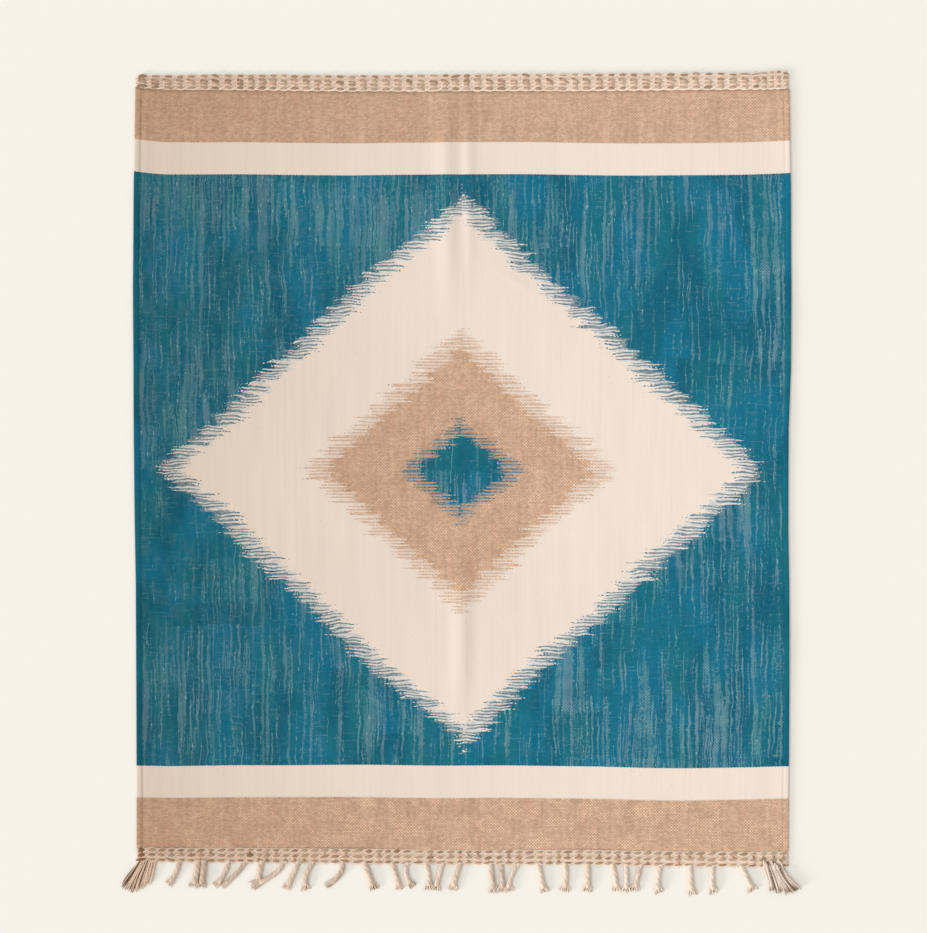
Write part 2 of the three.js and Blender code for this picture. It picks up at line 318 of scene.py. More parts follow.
@dataclass
class Surface:
    """Points, faces and what each point carries, gathered from several closed grids."""

    points: list = field(default_factory=list)
    quads: list = field(default_factory=list)
    caps: list = field(default_factory=list)
    uvs: list = field(default_factory=list)
    tones: list = field(default_factory=list)
    count: int = 0

    def _keep(self, points: np.ndarray, uv: np.ndarray, tone: "np.ndarray | float") -> np.ndarray:
        """Keeps a grid of points.

        Args:
            points: The points, along the last axis.
            uv: Their texture places.
            tone: Numbers that broadcast to the shape of the grid.

        Returns:
            The points' own numbers, in the shape of the grid.
        """
        shape = points.shape[:-1]
        numbers = self.count + np.arange(math.prod(shape)).reshape(shape)
        self.points.append(points.reshape(-1, 3))
        self.uvs.append(uv.reshape(-1, 2))
        self.tones.append(np.broadcast_to(tone, shape).reshape(-1))
        self.count += numbers.size
        return numbers

    def add_rings(self, rings: np.ndarray, uv: np.ndarray, tone: "np.ndarray | float") -> None:
        """Adds closed lofts: each is a pile of rings, joined by quads, with a flat cap on each end.

        A ring's points run anticlockwise as seen from the last ring.

        Args:
            rings: Points, in the shape (lofts, rings, points of a ring, 3).
            uv: Texture places, in the shape (lofts, rings, points of a ring, 2).
            tone: A number for each loft, ring and point, that broadcasts to their shape.
        """
        here = self._keep(rings, uv, tone)
        after = np.roll(here, -1, axis=2)
        self.quads.append(quads_of(here[:, :-1], after[:, :-1], after[:, 1:], here[:, 1:]))
        self.caps.extend([here[:, 0, ::-1], here[:, -1]])

    def add_sheet(self, upper: np.ndarray, lower: np.ndarray, uv: np.ndarray) -> None:
        """Adds a closed sheet: an upper and a lower grid joined by a strip of quads all round the rim.

        Args:
            upper: Upper points, in the shape (rows, columns, 3), left to right and towards +Y.
            lower: Lower points, in the same shape.
            uv: Texture places of both grids, in the shape (rows, columns, 2).
        """
        top = self._keep(upper, uv, 0.0)
        bottom = self._keep(lower, uv, 0.0)
        self.quads.extend(
            [
                quads_of(top[:-1, :-1], top[:-1, 1:], top[1:, 1:], top[1:, :-1]),
                quads_of(bottom[:-1, :-1], bottom[1:, :-1], bottom[1:, 1:], bottom[:-1, 1:]),
                quads_of(top[:-1, 0], top[1:, 0], bottom[1:, 0], bottom[:-1, 0]),
                quads_of(top[1:, -1], top[:-1, -1], bottom[:-1, -1], bottom[1:, -1]),
                quads_of(top[0, 1:], top[0, :-1], bottom[0, :-1], bottom[0, 1:]),
                quads_of(top[-1, :-1], top[-1, 1:], bottom[-1, 1:], bottom[-1, :-1]),
            ]
        )

    def add_yarns(
        self,
        paths: np.ndarray,
        radius: "np.ndarray | float",
        tone: "np.ndarray | float",
        sides: int = 6,
        flatten: "np.ndarray | float" = 1.0,
    ) -> None:
        """Adds round yarns: a ring's point lies at cosine times sideways plus sine times upwards.

        Args:
            paths: Centre points, in the shape (yarns, stations, 3).
            radius: Radii, that broadcast to (yarns, stations) as tone and flatten do.
            tone: Numbers for the attribute.
            sides: Points of a ring.
            flatten: Height of the section as a share of its width.
        """
        sideways, upwards = path_frames(paths)
        angle = TAU * np.arange(sides) / sides
        out = np.cos(angle)[:, None] * sideways[:, :, None]
        rise = np.sin(angle)[:, None] * upwards[:, :, None] * np.asarray(flatten)[..., None, None]
        rings = paths[:, :, None] + np.asarray(radius)[..., None, None] * (out + rise)
        along = np.zeros(paths.shape[:2])
        along[:, 1:] = np.cumsum(np.linalg.norm(np.diff(paths, axis=1), axis=-1), axis=1)
        uv = np.stack(np.broadcast_arrays(along[:, :, None], angle / TAU), axis=-1)
        self.add_rings(rings, uv, np.asarray(tone)[..., None])

    def build(self, name: str) -> bpy.types.Object:
        """Makes the Blender object, with its texture places and the attribute named tone.

        Args:
            name: Name of the object and its mesh.

        Returns:
            The object, at the origin, with smooth faces.
        """
        faces = np.concatenate(self.quads).tolist()
        for caps in self.caps:
            faces.extend(caps.tolist())
        mesh = bpy.data.meshes.new(name)
        mesh.from_pydata(np.concatenate(self.points).tolist(), [], faces)
        loops = np.empty(len(mesh.loops), dtype=np.int32)
        mesh.loops.foreach_get("vertex_index", loops)
        layer = mesh.uv_layers.new(name="UVMap")
        layer.data.foreach_set("uv", np.concatenate(self.uvs)[loops].astype(np.float32).ravel())
        tone = mesh.attributes.new("tone", "FLOAT", "POINT")
        tone.data.foreach_set("value", np.concatenate(self.tones).astype(np.float32))
        mesh.shade_smooth()
        mesh.update()
        piece = bpy.data.objects.new(name, mesh)
        bpy.context.scene.collection.objects.link(piece)
        return piece


# Shader maths


def math_method(operation: str, reflected: bool = False) -> Callable:
    """Makes a method of Value that adds one Math node.

    Args:
        operation: Blender's name of the operation.
        reflected: Whether the value itself comes last.

    Returns:
        The method.
    """

    def method(value: "Value", *others: "Value | float") -> "Value":
        """Adds the node."""
        given = (*others, value) if reflected else (value, *others)
        return value.nodes.number("ShaderNodeMath", {"operation": operation}, *given)

    return method


@dataclass(frozen=True, eq=False)
class Value:
    """An output socket, wrapped so that expressions on numbers add Math nodes."""

    nodes: "Nodes"
    socket: bpy.types.NodeSocket

    __add__ = __radd__ = math_method("ADD")
    __sub__ = math_method("SUBTRACT")
    __rsub__ = math_method("SUBTRACT", reflected=True)
    __mul__ = __rmul__ = math_method("MULTIPLY")
    __truediv__ = math_method("DIVIDE")
    __gt__ = math_method("GREATER_THAN")
    __lt__ = math_method("LESS_THAN")
    __abs__ = math_method("ABSOLUTE")
    floor = math_method("FLOOR")
    wrapped = math_method("FLOORED_MODULO")
    wave = math_method("SINE")
    largest = math_method("MAXIMUM")

    def step(self, low: "Value | float", high: "Value | float") -> "Value":
        """Smooth step from 0 at low to 1 at high."""
        settings = {"interpolation_type": "SMOOTHSTEP"}
        return self.nodes.number("ShaderNodeMapRange", settings, self, low, high)

    def towards(self, other: "Value | float", share: "Value | float") -> "Value":
        """This value blended with another by a share."""
        return self + (other - self) * share


class Nodes:
    """One material's nodes, with one method that adds any node."""

    def __init__(self, name: str) -> None:
        """Starts an empty material.

        Args:
            name: The material's name.
        """
        self.material = bpy.data.materials.new(name)
        self.material.use_nodes = True
        self.tree = self.material.node_tree
        self.tree.nodes.clear()

    def node(self, kind: str, settings: dict, sockets: dict) -> bpy.types.Node:
        """Adds a node, sets its settings first and then its sockets.

        Args:
            kind: Blender's type of the node.
            settings: Properties of the node.
            sockets: Values or links of its input sockets, by name or number.

        Returns:
            The node.
        """
        made = self.tree.nodes.new(kind)
        for key, setting in settings.items():
            setattr(made, key, setting)
        for key, given in sockets.items():
            if isinstance(given, Value):
                self.tree.links.new(given.socket, made.inputs[key])
            else:
                made.inputs[key].default_value = given
        return made

    def output(self, kind: str, settings: dict, sockets: dict, name: "str | int") -> Value:
        """Adds a node and wraps the output of a name or number."""
        return Value(self, self.node(kind, settings, sockets).outputs[name])

    def number(self, kind: str, settings: dict, *given: "Value | float") -> Value:
        """Adds a node from its input sockets in order, and wraps its first output."""
        return self.output(kind, settings, dict(enumerate(given)), 0)

    def places(self) -> tuple[Value, Value]:
        """Reads the piece's own texture map.

        Returns:
            Its two coordinates.
        """
        uv = self.output("ShaderNodeUVMap", {"uv_map": "UVMap"}, {}, "UV")
        apart = self.node("ShaderNodeSeparateXYZ", {}, {0: uv})
        return Value(self, apart.outputs[0]), Value(self, apart.outputs[1])

    def tone(self) -> Value:
        """The piece's own attribute named tone."""
        return self.output("ShaderNodeAttribute", {"attribute_name": "tone"}, {}, "Fac")

    def ground_place(self) -> Value:
        """The place on the piece itself, in metres."""
        return self.output("ShaderNodeTexCoord", {}, {}, "Object")

    def point(self, *parts: "Value | float") -> Value:
        """A vector from up to three numbers."""
        return self.number("ShaderNodeCombineXYZ", {}, *parts)

    def noise(self, *place: "Value | float", scale: float = 1, detail: float = 1) -> Value:
        """Cloudy noise about one half.

        Args:
            place: Where to read it: a vector, or two or three numbers.
            scale: How many clouds fit in one unit.
            detail: How many finer layers it has.

        Returns:
            The noise.
        """
        vector = place[0] if len(place) == 1 else self.point(*place)
        sockets = {"Vector": vector, "Scale": scale, "Detail": detail}
        return self.output("ShaderNodeTexNoise", {"noise_dimensions": "3D"}, sockets, "Fac")

    def chance(self, *parts: "Value | float") -> Value:
        """A random number from 0 to 1 for each set of up to three whole numbers."""
        sockets = {"Vector": self.point(*parts)}
        return self.output("ShaderNodeTexWhiteNoise", {"noise_dimensions": "3D"}, sockets, "Value")

    def blend(self, share: "Value | float", first: "Value | tuple", second: "Value | tuple") -> Value:
        """A colour that holds a share of the second colour."""
        sockets = {"Factor": share, 6: first, 7: second}
        return self.output("ShaderNodeMix", {"data_type": "RGBA", "clamp_factor": True}, sockets, 2)

    def tint(self, colour: Value, share: Value, tint: tuple) -> Value:
        """A colour multiplied by white that holds a share of a tint."""
        sockets = {0: colour, 1: self.blend(share, WHITE, tint)}
        return self.output("ShaderNodeVectorMath", {"operation": "MULTIPLY"}, sockets, "Vector")

    def darken_leftwards(self, colour: Value) -> Value:
        """A colour of wool made darker and warmer towards the left edge, by a parabola of the place across
        X.
        """
        x = self.number("ShaderNodeSeparateXYZ", {}, self.ground_place())
        return self.tint(colour, 0.22 - x * (0.45 - x * 0.19), LEFTWARD_DARKENING)

    def dim(self, colour: Value, factor: Value) -> Value:
        """A colour with every part multiplied by a number."""
        sockets = {0: colour, "Scale": factor}
        return self.output("ShaderNodeVectorMath", {"operation": "SCALE"}, sockets, "Vector")

    def finish(self, colour: Value, rough: Value, height: Value, depth: float, sheen: float) -> None:
        """Closes the material with a matt shader and a bump.

        Args:
            colour: Base colour.
            rough: Roughness.
            height: Height of the bump, from 0 to 1.
            depth: Depth in metres of a bump of 1.
            sheen: Weight of the soft sheen.
        """
        sockets = {
            "Base Color": colour,
            "Roughness": rough,
            "Normal": self.output("ShaderNodeBump", {}, {"Distance": depth, "Height": height}, "Normal"),
            "Specular IOR Level": 0.04,
            "Sheen Weight": sheen,
            "Sheen Roughness": 0.6,
        }
        shader = self.output("ShaderNodeBsdfPrincipled", {}, sockets, 0)
        self.node("ShaderNodeOutputMaterial", {}, {0: shader})


# Finishes


@dataclass(frozen=True)
class Weave:
    """A point of the weave: its places across and along the cloth, and the bead of weft there.

    The bead's dome is 1 at its middle, its row is where the middle of its pass lies, its chance is a random
    number of its own, its relief is how far the point stands above or below the mean and gives the colours
    painted light on the bead tops and painted shade in the gaps between beads, and loose tells from 0 to 1
    how far the beads stand apart in its patch.
    """

    n: Nodes
    u: Value
    v: Value
    dome: Value
    row: Value
    chance: Value
    relief_shade: Value
    loose: Value


@dataclass(frozen=True)
class Lozenge:
    """A lozenge of the layout: its half sizes, how its sides feather, and a seed of its own."""

    half_width: float
    half_length: float
    tongue: float
    rhythm: float
    seed: float


@dataclass(frozen=True)
class WovenWool:
    """Weft-faced wool: a layout of lozenges and bars, feathered joins, pale streaks and small beads."""

    warp_pitch: float = 0.0059
    bead_period: float = 0.0117
    bead_half_width: float = 0.60
    bead_half_length: float = 0.37
    bead_depth: float = 0.0012
    half_length: float = 1.4525
    half_width: float = 1.25
    bar: float = 0.20
    stripe: float = 0.12
    tooth: float = 0.042
    lot: float = 0.085
    selvedge: float = 0.022
    diamond: Lozenge = Lozenge(1.12, 1.02, tongue=0.098, rhythm=0.46, seed=0)
    heart: Lozenge = Lozenge(0.56, 0.51, tongue=0.095, rhythm=0.54, seed=41)
    core: Lozenge = Lozenge(0.21, 0.19, tongue=0.075, rhythm=0.46, seed=80)
    deep_blue: tuple = (0.0030, 0.112, 0.175, 1)
    green_blue: tuple = (0.0080, 0.157, 0.206, 1)
    clear_blue: tuple = (0.0050, 0.154, 0.254, 1)
    lilac_streak: tuple = (0.165, 0.270, 0.325, 1)
    moss_streak: tuple = (0.150, 0.300, 0.310, 1)
    fleck: tuple = (0.330, 0.500, 0.510, 1)
    shadow: tuple = (0.030, 0.075, 0.085, 1)
    cream: tuple = (0.770, 0.660, 0.570, 1)
    # Painted highlight: the whiter cream of the feathered joins.
    highlight_cream: tuple = (0.840, 0.790, 0.740, 1)
    tan: tuple = (0.495, 0.313, 0.203, 1)
    pink_tan: tuple = (0.556, 0.338, 0.232, 1)
    pale_tan: tuple = (0.610, 0.412, 0.282, 1)
    lint: tuple = (0.330, 0.250, 0.190, 1)

    def material(self) -> bpy.types.Material:
        """Builds the material. Each bead takes the colour of its own weft pass, so joins are stepped.

        Returns:
            The material.
        """
        n = Nodes("woven_wool")
        raw_u, raw_v = n.places()
        at = self._bead(n, *self._wander(n, raw_u, raw_v))
        blue = self._blue(at)
        tan = self._tan(at)
        cream = self._cream(at)
        frayed = n.noise(at.u * 120, at.v * 210, 51, detail=2)
        diamond, zone = self._inside(at, self.diamond, frayed)
        heart, _ = self._inside(at, self.heart, frayed)
        core, _ = self._inside(at, self.core, frayed)
        # Painted highlight: cream turns whiter where the tongues pass each other, most on the bead tops.
        pale = n.blend(zone * (0.45 + at.dome * 0.5), cream, self.highlight_cream)
        colour = n.blend(diamond, n.blend(zone * frayed.step(0.30, 0.62) * 0.6, blue, self.shadow), pale)
        colour = n.blend(heart, colour, tan)
        colour = n.blend(core, colour, blue)
        colour = n.blend(abs(at.row) > self.half_length - self.bar - self.stripe, colour, cream)
        colour = n.blend(abs(at.row) > self.half_length - self.bar, colour, tan)
        tone = 1 + (n.noise(raw_u, raw_v, 7, scale=1.3) - 0.5) * 0.08
        inset = self.half_width - abs(raw_u)
        # Painted shade: the colour darkens in the groove beside each selvedge cord.
        groove = inset.step(self.selvedge - 0.005, self.selvedge)
        groove = groove - inset.step(self.selvedge, self.selvedge + 0.006)
        tone = tone * (1 - groove * 0.20)
        fibre = n.noise(at.u * 900, at.v * 1500, 0, detail=2)
        height = at.dome * (0.28 + at.loose * 0.6) * (1 - self._in_cream(at) * 0.72) + fibre * 0.18
        rough = 0.86 + fibre * 0.1
        n.finish(n.darken_leftwards(n.dim(colour, tone)), rough, height, self.bead_depth, 0.06)
        return n.material

    def _in_cream(self, at: Weave) -> Value:
        """The cream areas by their plain outlines.

        Args:
            at: The point of the weave.

        Returns:
            1 in cream and 0 elsewhere.
        """
        outer = self.diamond.half_width
        inner = self.heart.half_width
        out = abs(at.u) + abs(at.v) * (outer / self.diamond.half_length)
        ring = abs(out - (outer + inner) / 2) < (outer - inner) / 2
        stripe = abs(abs(at.v) - (self.half_length - self.bar - self.stripe / 2)) < self.stripe / 2
        return ring.largest(stripe)

    def _wander(self, n: Nodes, u: Value, v: Value) -> tuple[Value, Value]:
        """Places on the weave: all yarns sway slowly, and wefts more where the lozenge's sides feather.

        Args:
            n: The material's nodes.
            u: Place across the cloth.
            v: Place along the cloth.

        Returns:
            The two places.
        """
        across = (n.noise(u, v, scale=6) - 0.5) * 0.006
        slow = (n.noise(u * 1.1, v * 0.6, 3) - 0.5) * 0.030
        edge = self.diamond.half_width - abs(v) * (self.diamond.half_width / self.diamond.half_length)
        near = 1 - (abs(abs(u) - edge) / 0.16).step(0.3, 1)
        quick = (n.noise(u * 10, v * 17, 6) - 0.5) * 0.030
        quick = quick + (n.noise(u * 40, v * 50, 8) - 0.5) * 0.005
        return u + across, v + slow + near * quick

    def _bead(self, n: Nodes, u: Value, v: Value) -> Weave:
        """The bead at a point: two interlocking grids each have one there, and the higher dome wins.

        Args:
            n: The material's nodes.
            u: Place across the cloth.
            v: Place along the cloth.

        Returns:
            The point of the weave.
        """
        across = u / (2 * self.warp_pitch)
        up = v / self.bead_period
        even_column = across.floor()
        even_row = up.floor()
        odd_column = (across + 0.5).floor()
        odd_row = (up + 0.5).floor()
        even = self._dome(across - even_column - 0.5, up - even_row - 0.5)
        odd = self._dome(across - odd_column, up - odd_row)
        pick = odd > even
        dome = even.largest(odd)
        column = (even_column * 2 + 1).towards(odd_column * 2, pick)
        weft = (even_row * 2 + 1).towards(odd_row * 2, pick)
        loose = n.noise(u * 15, v * 15, 41, detail=2).step(0.34, 0.66)
        loose = loose * (0.35 + (u * 0.5 - v * 0.35 + 0.5).step(0, 1) * 0.75)
        row = weft * (self.bead_period / 2)
        chance = n.chance(column, weft)
        # Painted light and shade: bead tops lighter and gaps darker, strongest in loose patches; only
        # colours read it.
        relief_shade = (dome.step(0.05, 0.85) - 0.58) * (0.15 + loose * 1.5)
        return Weave(n, u, v, dome, row, chance, relief_shade, loose)

    def _dome(self, across: Value, up: Value) -> Value:
        """Height of a bead: one less the squared distance from its centre on an oval.

        Args:
            across: Distance across from its centre, in cells of the grid.
            up: Distance along from its centre, in cells of the grid.

        Returns:
            The height.
        """
        oval_across = across / self.bead_half_width
        oval_up = up / self.bead_half_length
        return 1 - oval_across * oval_across - oval_up * oval_up

    def _inside(self, at: Weave, lozenge: Lozenge, frayed: Value) -> tuple[Value, Value]:
        """Share of a lozenge's colour: its sides step tooth by tooth, and tongues of weft pass each other.

        Every pass of weft ends in a pointed tongue with a frayed tip, and shows warp by warp between the
        passes beside it.

        Args:
            at: The point of the weave.
            lozenge: The lozenge.
            frayed: Fine noise about one half.

        Returns:
            The share, 1 inside and 0 outside, and 1 where tongues pass each other.
        """
        n, u = at.n, at.u
        passes = at.v / (self.bead_period / 2) + (frayed - 0.5) * 0.5
        weft = (passes + 0.5).floor()
        aside = abs(passes - weft) * 2
        along = abs(weft) * (self.bead_period / 2)
        right = u > 0
        teeth = along / self.tooth
        tooth = teeth.floor()
        stepped = (tooth + 0.35 + (teeth - tooth) * 0.3) * self.tooth
        tooth_chance = n.chance(tooth, right, lozenge.seed)
        over = ((weft * lozenge.rhythm + tooth_chance).wrapped(1) < 0.5) - 0.5
        reach = lozenge.tongue * (0.45 + n.chance(weft, right, lozenge.seed + 1) * 0.75)
        reach = reach * (1.1 - aside * aside * 0.5)
        loose = (tooth_chance - 0.5) * 0.03 + (frayed - 0.5) * 0.16
        bent = (n.noise(along * 2.2, right * 5, lozenge.seed) - 0.5) * 0.12
        edge = lozenge.half_width - stepped * (lozenge.half_width / lozenge.half_length) + bent
        beyond = abs(u) - edge
        inside = (beyond < over * reach + loose) * (edge + over * reach > -0.02)
        zone = 1 - (abs(beyond) / reach).step(0.42, 0.58)
        dots = (u * (TAU / self.warp_pitch) + weft * math.pi).wave() * 0.5 + 0.5
        broken = n.noise(u * 42, weft * 0.7, lozenge.seed + 2).step(0.42, 0.60)
        mingled = frayed.step(0.36, 0.62) * 0.25 + dots * 0.28 + aside * aside * 0.30 + broken * 0.25
        return inside.towards(0.45, mingled * zone), zone

    def _blue(self, at: Weave) -> Value:
        """Three blues in soft patches, crossed by pale streaks where the warp shows between the beads.

        The yarn changes from lot to lot along the cloth, and the streaks change a little with it.

        Args:
            at: The point of the weave.

        Returns:
            The colour.
        """
        n, u, v = at.n, at.u, at.v
        row = ((v + (n.noise(u * 2.4, v * 0.8, 9) - 0.5) * 0.10) / self.lot).floor()
        lot = n.chance(row, (u * 4.2 + n.chance(row, 4) * 9).floor(), 5)
        green = n.noise(u * 9, v * 2.4, 11 + lot * 0.3, detail=2).step(0.40, 0.62)
        clear = n.noise(u * 6, v * 3, 12 + lot * 0.3, detail=2).step(0.44, 0.64)
        base = n.blend(green * 0.75, self.deep_blue, self.green_blue)
        base = n.blend(clear * 0.8, base, self.clear_blue)
        sway = u + (n.noise(u * 5, v * 5, 15) - 0.5) * 0.022
        sway = sway + (n.noise(u * 26, v * 20, 20) - 0.5) * 0.014
        dense = n.noise(u * 1.9, v * 1.5, 16) + (lot - 0.5) * 0.10
        ragged = (n.noise(u * 170, v * 60, 27, detail=2) - 0.5) * 0.16 + (dense - 0.5) * 0.34
        worn = 1 - (u - v * 0.4).step(-1.3, 0.1)
        ragged = ragged + (at.chance - 0.5) * 0.06 + worn * 0.008
        ribs = n.noise(sway * 58, v * 1.7, 17 + lot * 0.15) + ragged
        thin = n.noise(sway * 120, v * 3.6, 19 + lot * 0.15) + ragged
        passes = n.noise(u * 26, v * 270, 22)
        soft = n.noise(u * 12, v * 3, 26).step(0.44, 0.60) * 0.42
        weave = (at.dome.step(0.30, 0.80) * (0.25 + at.loose)).largest(soft)
        broad = ribs.step(0.54, 0.68) * (0.18 + weave * 0.56)
        fine = thin.step(0.57, 0.67) * (0.36 + weave * 0.45)
        streak = n.blend(n.noise(u * 14, v * 2.5, 28).step(0.38, 0.62), self.lilac_streak, self.moss_streak)
        shade = (0.96 + lot * 0.08) * (0.93 + at.chance * 0.12) * (0.93 + passes * 0.14)
        # Painted light on the bead tops and painted shade between them, stronger in the streaks.
        shade = shade * (0.93 + at.relief_shade * (0.16 + ribs.step(0.50, 0.60) * 0.30))
        haze = n.noise(u * 44, v * 14, 21 + lot, detail=2).step(0.38, 0.68) * (0.04 + worn * 0.08)
        lines = n.noise(u * 12, v * 150, 24).step(0.64 - worn * 0.05, 0.72)
        lines = lines * (0.12 + at.chance * 0.26)
        inner = (self.half_width - abs(u)).step(self.selvedge - 0.004, self.selvedge + 0.004)
        share = broad.largest(fine).largest(haze + lines) * inner
        colour = n.blend(share, n.dim(base, shade), streak)
        dash = n.noise(sway * 190, v * 48, 23).step(0.62, 0.74) * thin.step(0.49, 0.62)
        return n.blend(dash * inner * 0.6, colour, self.fleck)

    def _tan(self, at: Weave) -> Value:
        """Undyed tan in soft patches, with painted light on bead tops and painted shade between them here
        and there, and a few dark bits of lint.

        Args:
            at: The point of the weave.

        Returns:
            The colour.
        """
        n, u, v = at.n, at.u, at.v
        patch = n.noise(u * 12, v * 6, 23, detail=2).step(0.3, 0.7)
        pink = n.noise(u * 18, v * 7, 25).step(0.48, 0.66)
        lines = n.noise(u * 70, v * 5, 29).step(0.25, 0.75)
        passes = n.noise(u * 7, v * 120, 35)
        specks = n.noise(u * 95, v * 150, 37).step(0.72, 0.80)
        base = n.blend(patch * 0.25 + lines * 0.50, self.tan, self.pale_tan)
        base = n.blend(pink * 0.5, base, self.pink_tan)
        # Painted light on the bead tops and painted shade between them.
        shade = (0.95 + at.relief_shade * 0.60) * (0.88 + at.chance * 0.24) * (0.91 + passes * 0.18)
        return n.dim(base, shade * (1 - specks * 0.30))

    def _cream(self, at: Weave) -> Value:
        """Undyed cream with faint vertical lines, barely darker painted shade between the beads and a few
        dark bits of lint.

        Args:
            at: The point of the weave.

        Returns:
            The colour.
        """
        n, u, v = at.n, at.u, at.v
        lines = n.noise(u * 75, v * 1.6, 31)
        hair = n.noise(u * 140, v * 1.1, 33).step(0.66, 0.74)
        specks = n.noise(u * 44, v * 110, 37).step(0.78, 0.82)
        base = n.blend(specks * 0.50, self.cream, self.lint)
        # Faint painted light on the bead tops and painted shade between them.
        return n.dim(base, (1 + at.relief_shade * 0.04) * (0.96 + lines * 0.08) * (1 - hair * 0.05))


@dataclass(frozen=True)
class SpunWool:
    """Spun yarn: two shades blended by the attribute, with fine turns round it, painted shade in their
    grooves, and soft fibres.
    """

    name: str
    light: tuple
    dark: tuple
    turns: float
    strands: float
    # How much the grooves between the turns darken the colour: painted shade.
    groove: float
    speckle: float = 0.0
    blush: float = 0.0
    depth: float = 0.0006

    def material(self) -> bpy.types.Material:
        """Builds the material: slanted stripes along the yarn make its turns, with painted shade in their
        grooves.

        Returns:
            The material.
        """
        n = Nodes(self.name)
        along, around = n.places()
        tone = n.tone()
        turn = ((along * self.turns + around * self.strands) * TAU).wave() * 0.5 + 0.5
        cloud = n.noise(along * 60, around * 2, tone * 9, detail=2)
        fibre = n.noise(along * 260, around * 22, tone * 5, detail=2)
        speckle = (n.noise(along * 420, around * 7, tone * 3) - 0.5) * self.speckle
        colour = n.blend((tone + (cloud - 0.5) * 0.45 + tone * speckle).step(0, 1), self.light, self.dark)
        # Painted shade: the colour darkens in the grooves between the turns.
        colour = n.darken_leftwards(n.dim(colour, (1 - self.groove * (1 - turn)) * (0.86 + fibre * 0.28)))
        if self.blush:
            stain = n.noise(n.ground_place(), scale=24)
            colour = n.tint(colour, stain.step(0.50, 0.66) * self.blush, ROSY)
            colour = n.tint(colour, stain.step(0.48, 0.34) * self.blush, OLIVE)
        n.finish(colour, 0.88 + fibre * 0.08, turn * 0.7 + fibre * 0.4, self.depth, 0.08)
        return n.material


@dataclass(frozen=True)
class PaintedFloor:
    """A plain matt pale floor."""

    colour: tuple = (0.815, 0.778, 0.708, 1)
    cloud_colour: tuple = (0.8, 0.76, 0.69, 1)

    def material(self) -> bpy.types.Material:
        """Builds the material, with the faintest unevenness.

        Returns:
            The material.
        """
        n = Nodes("pale_floor")
        cloud = n.noise(n.ground_place(), scale=3, detail=2)
        colour = n.blend(cloud * 0.02, self.colour, self.cloud_colour)
        n.finish(colour, 0.82 + cloud * 0.1, cloud, 0.0001, 0)
        return n.material


# Sub-assemblies


def dress(piece: bpy.types.Object, material: bpy.types.Material, node: str) -> bpy.types.Object:
    """Gives a piece its finish and its body, and hides the solid node that it stands for.

    Args:
        piece: The piece.
        material: Its material.
        node: The solid that it replaces.

    Returns:
        The piece.
    """
    piece.data.materials.append(material)
    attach(piece, BODY)
    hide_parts(node)
    log.info("%s: %d faces", piece.name, len(piece.data.polygons))
    return piece


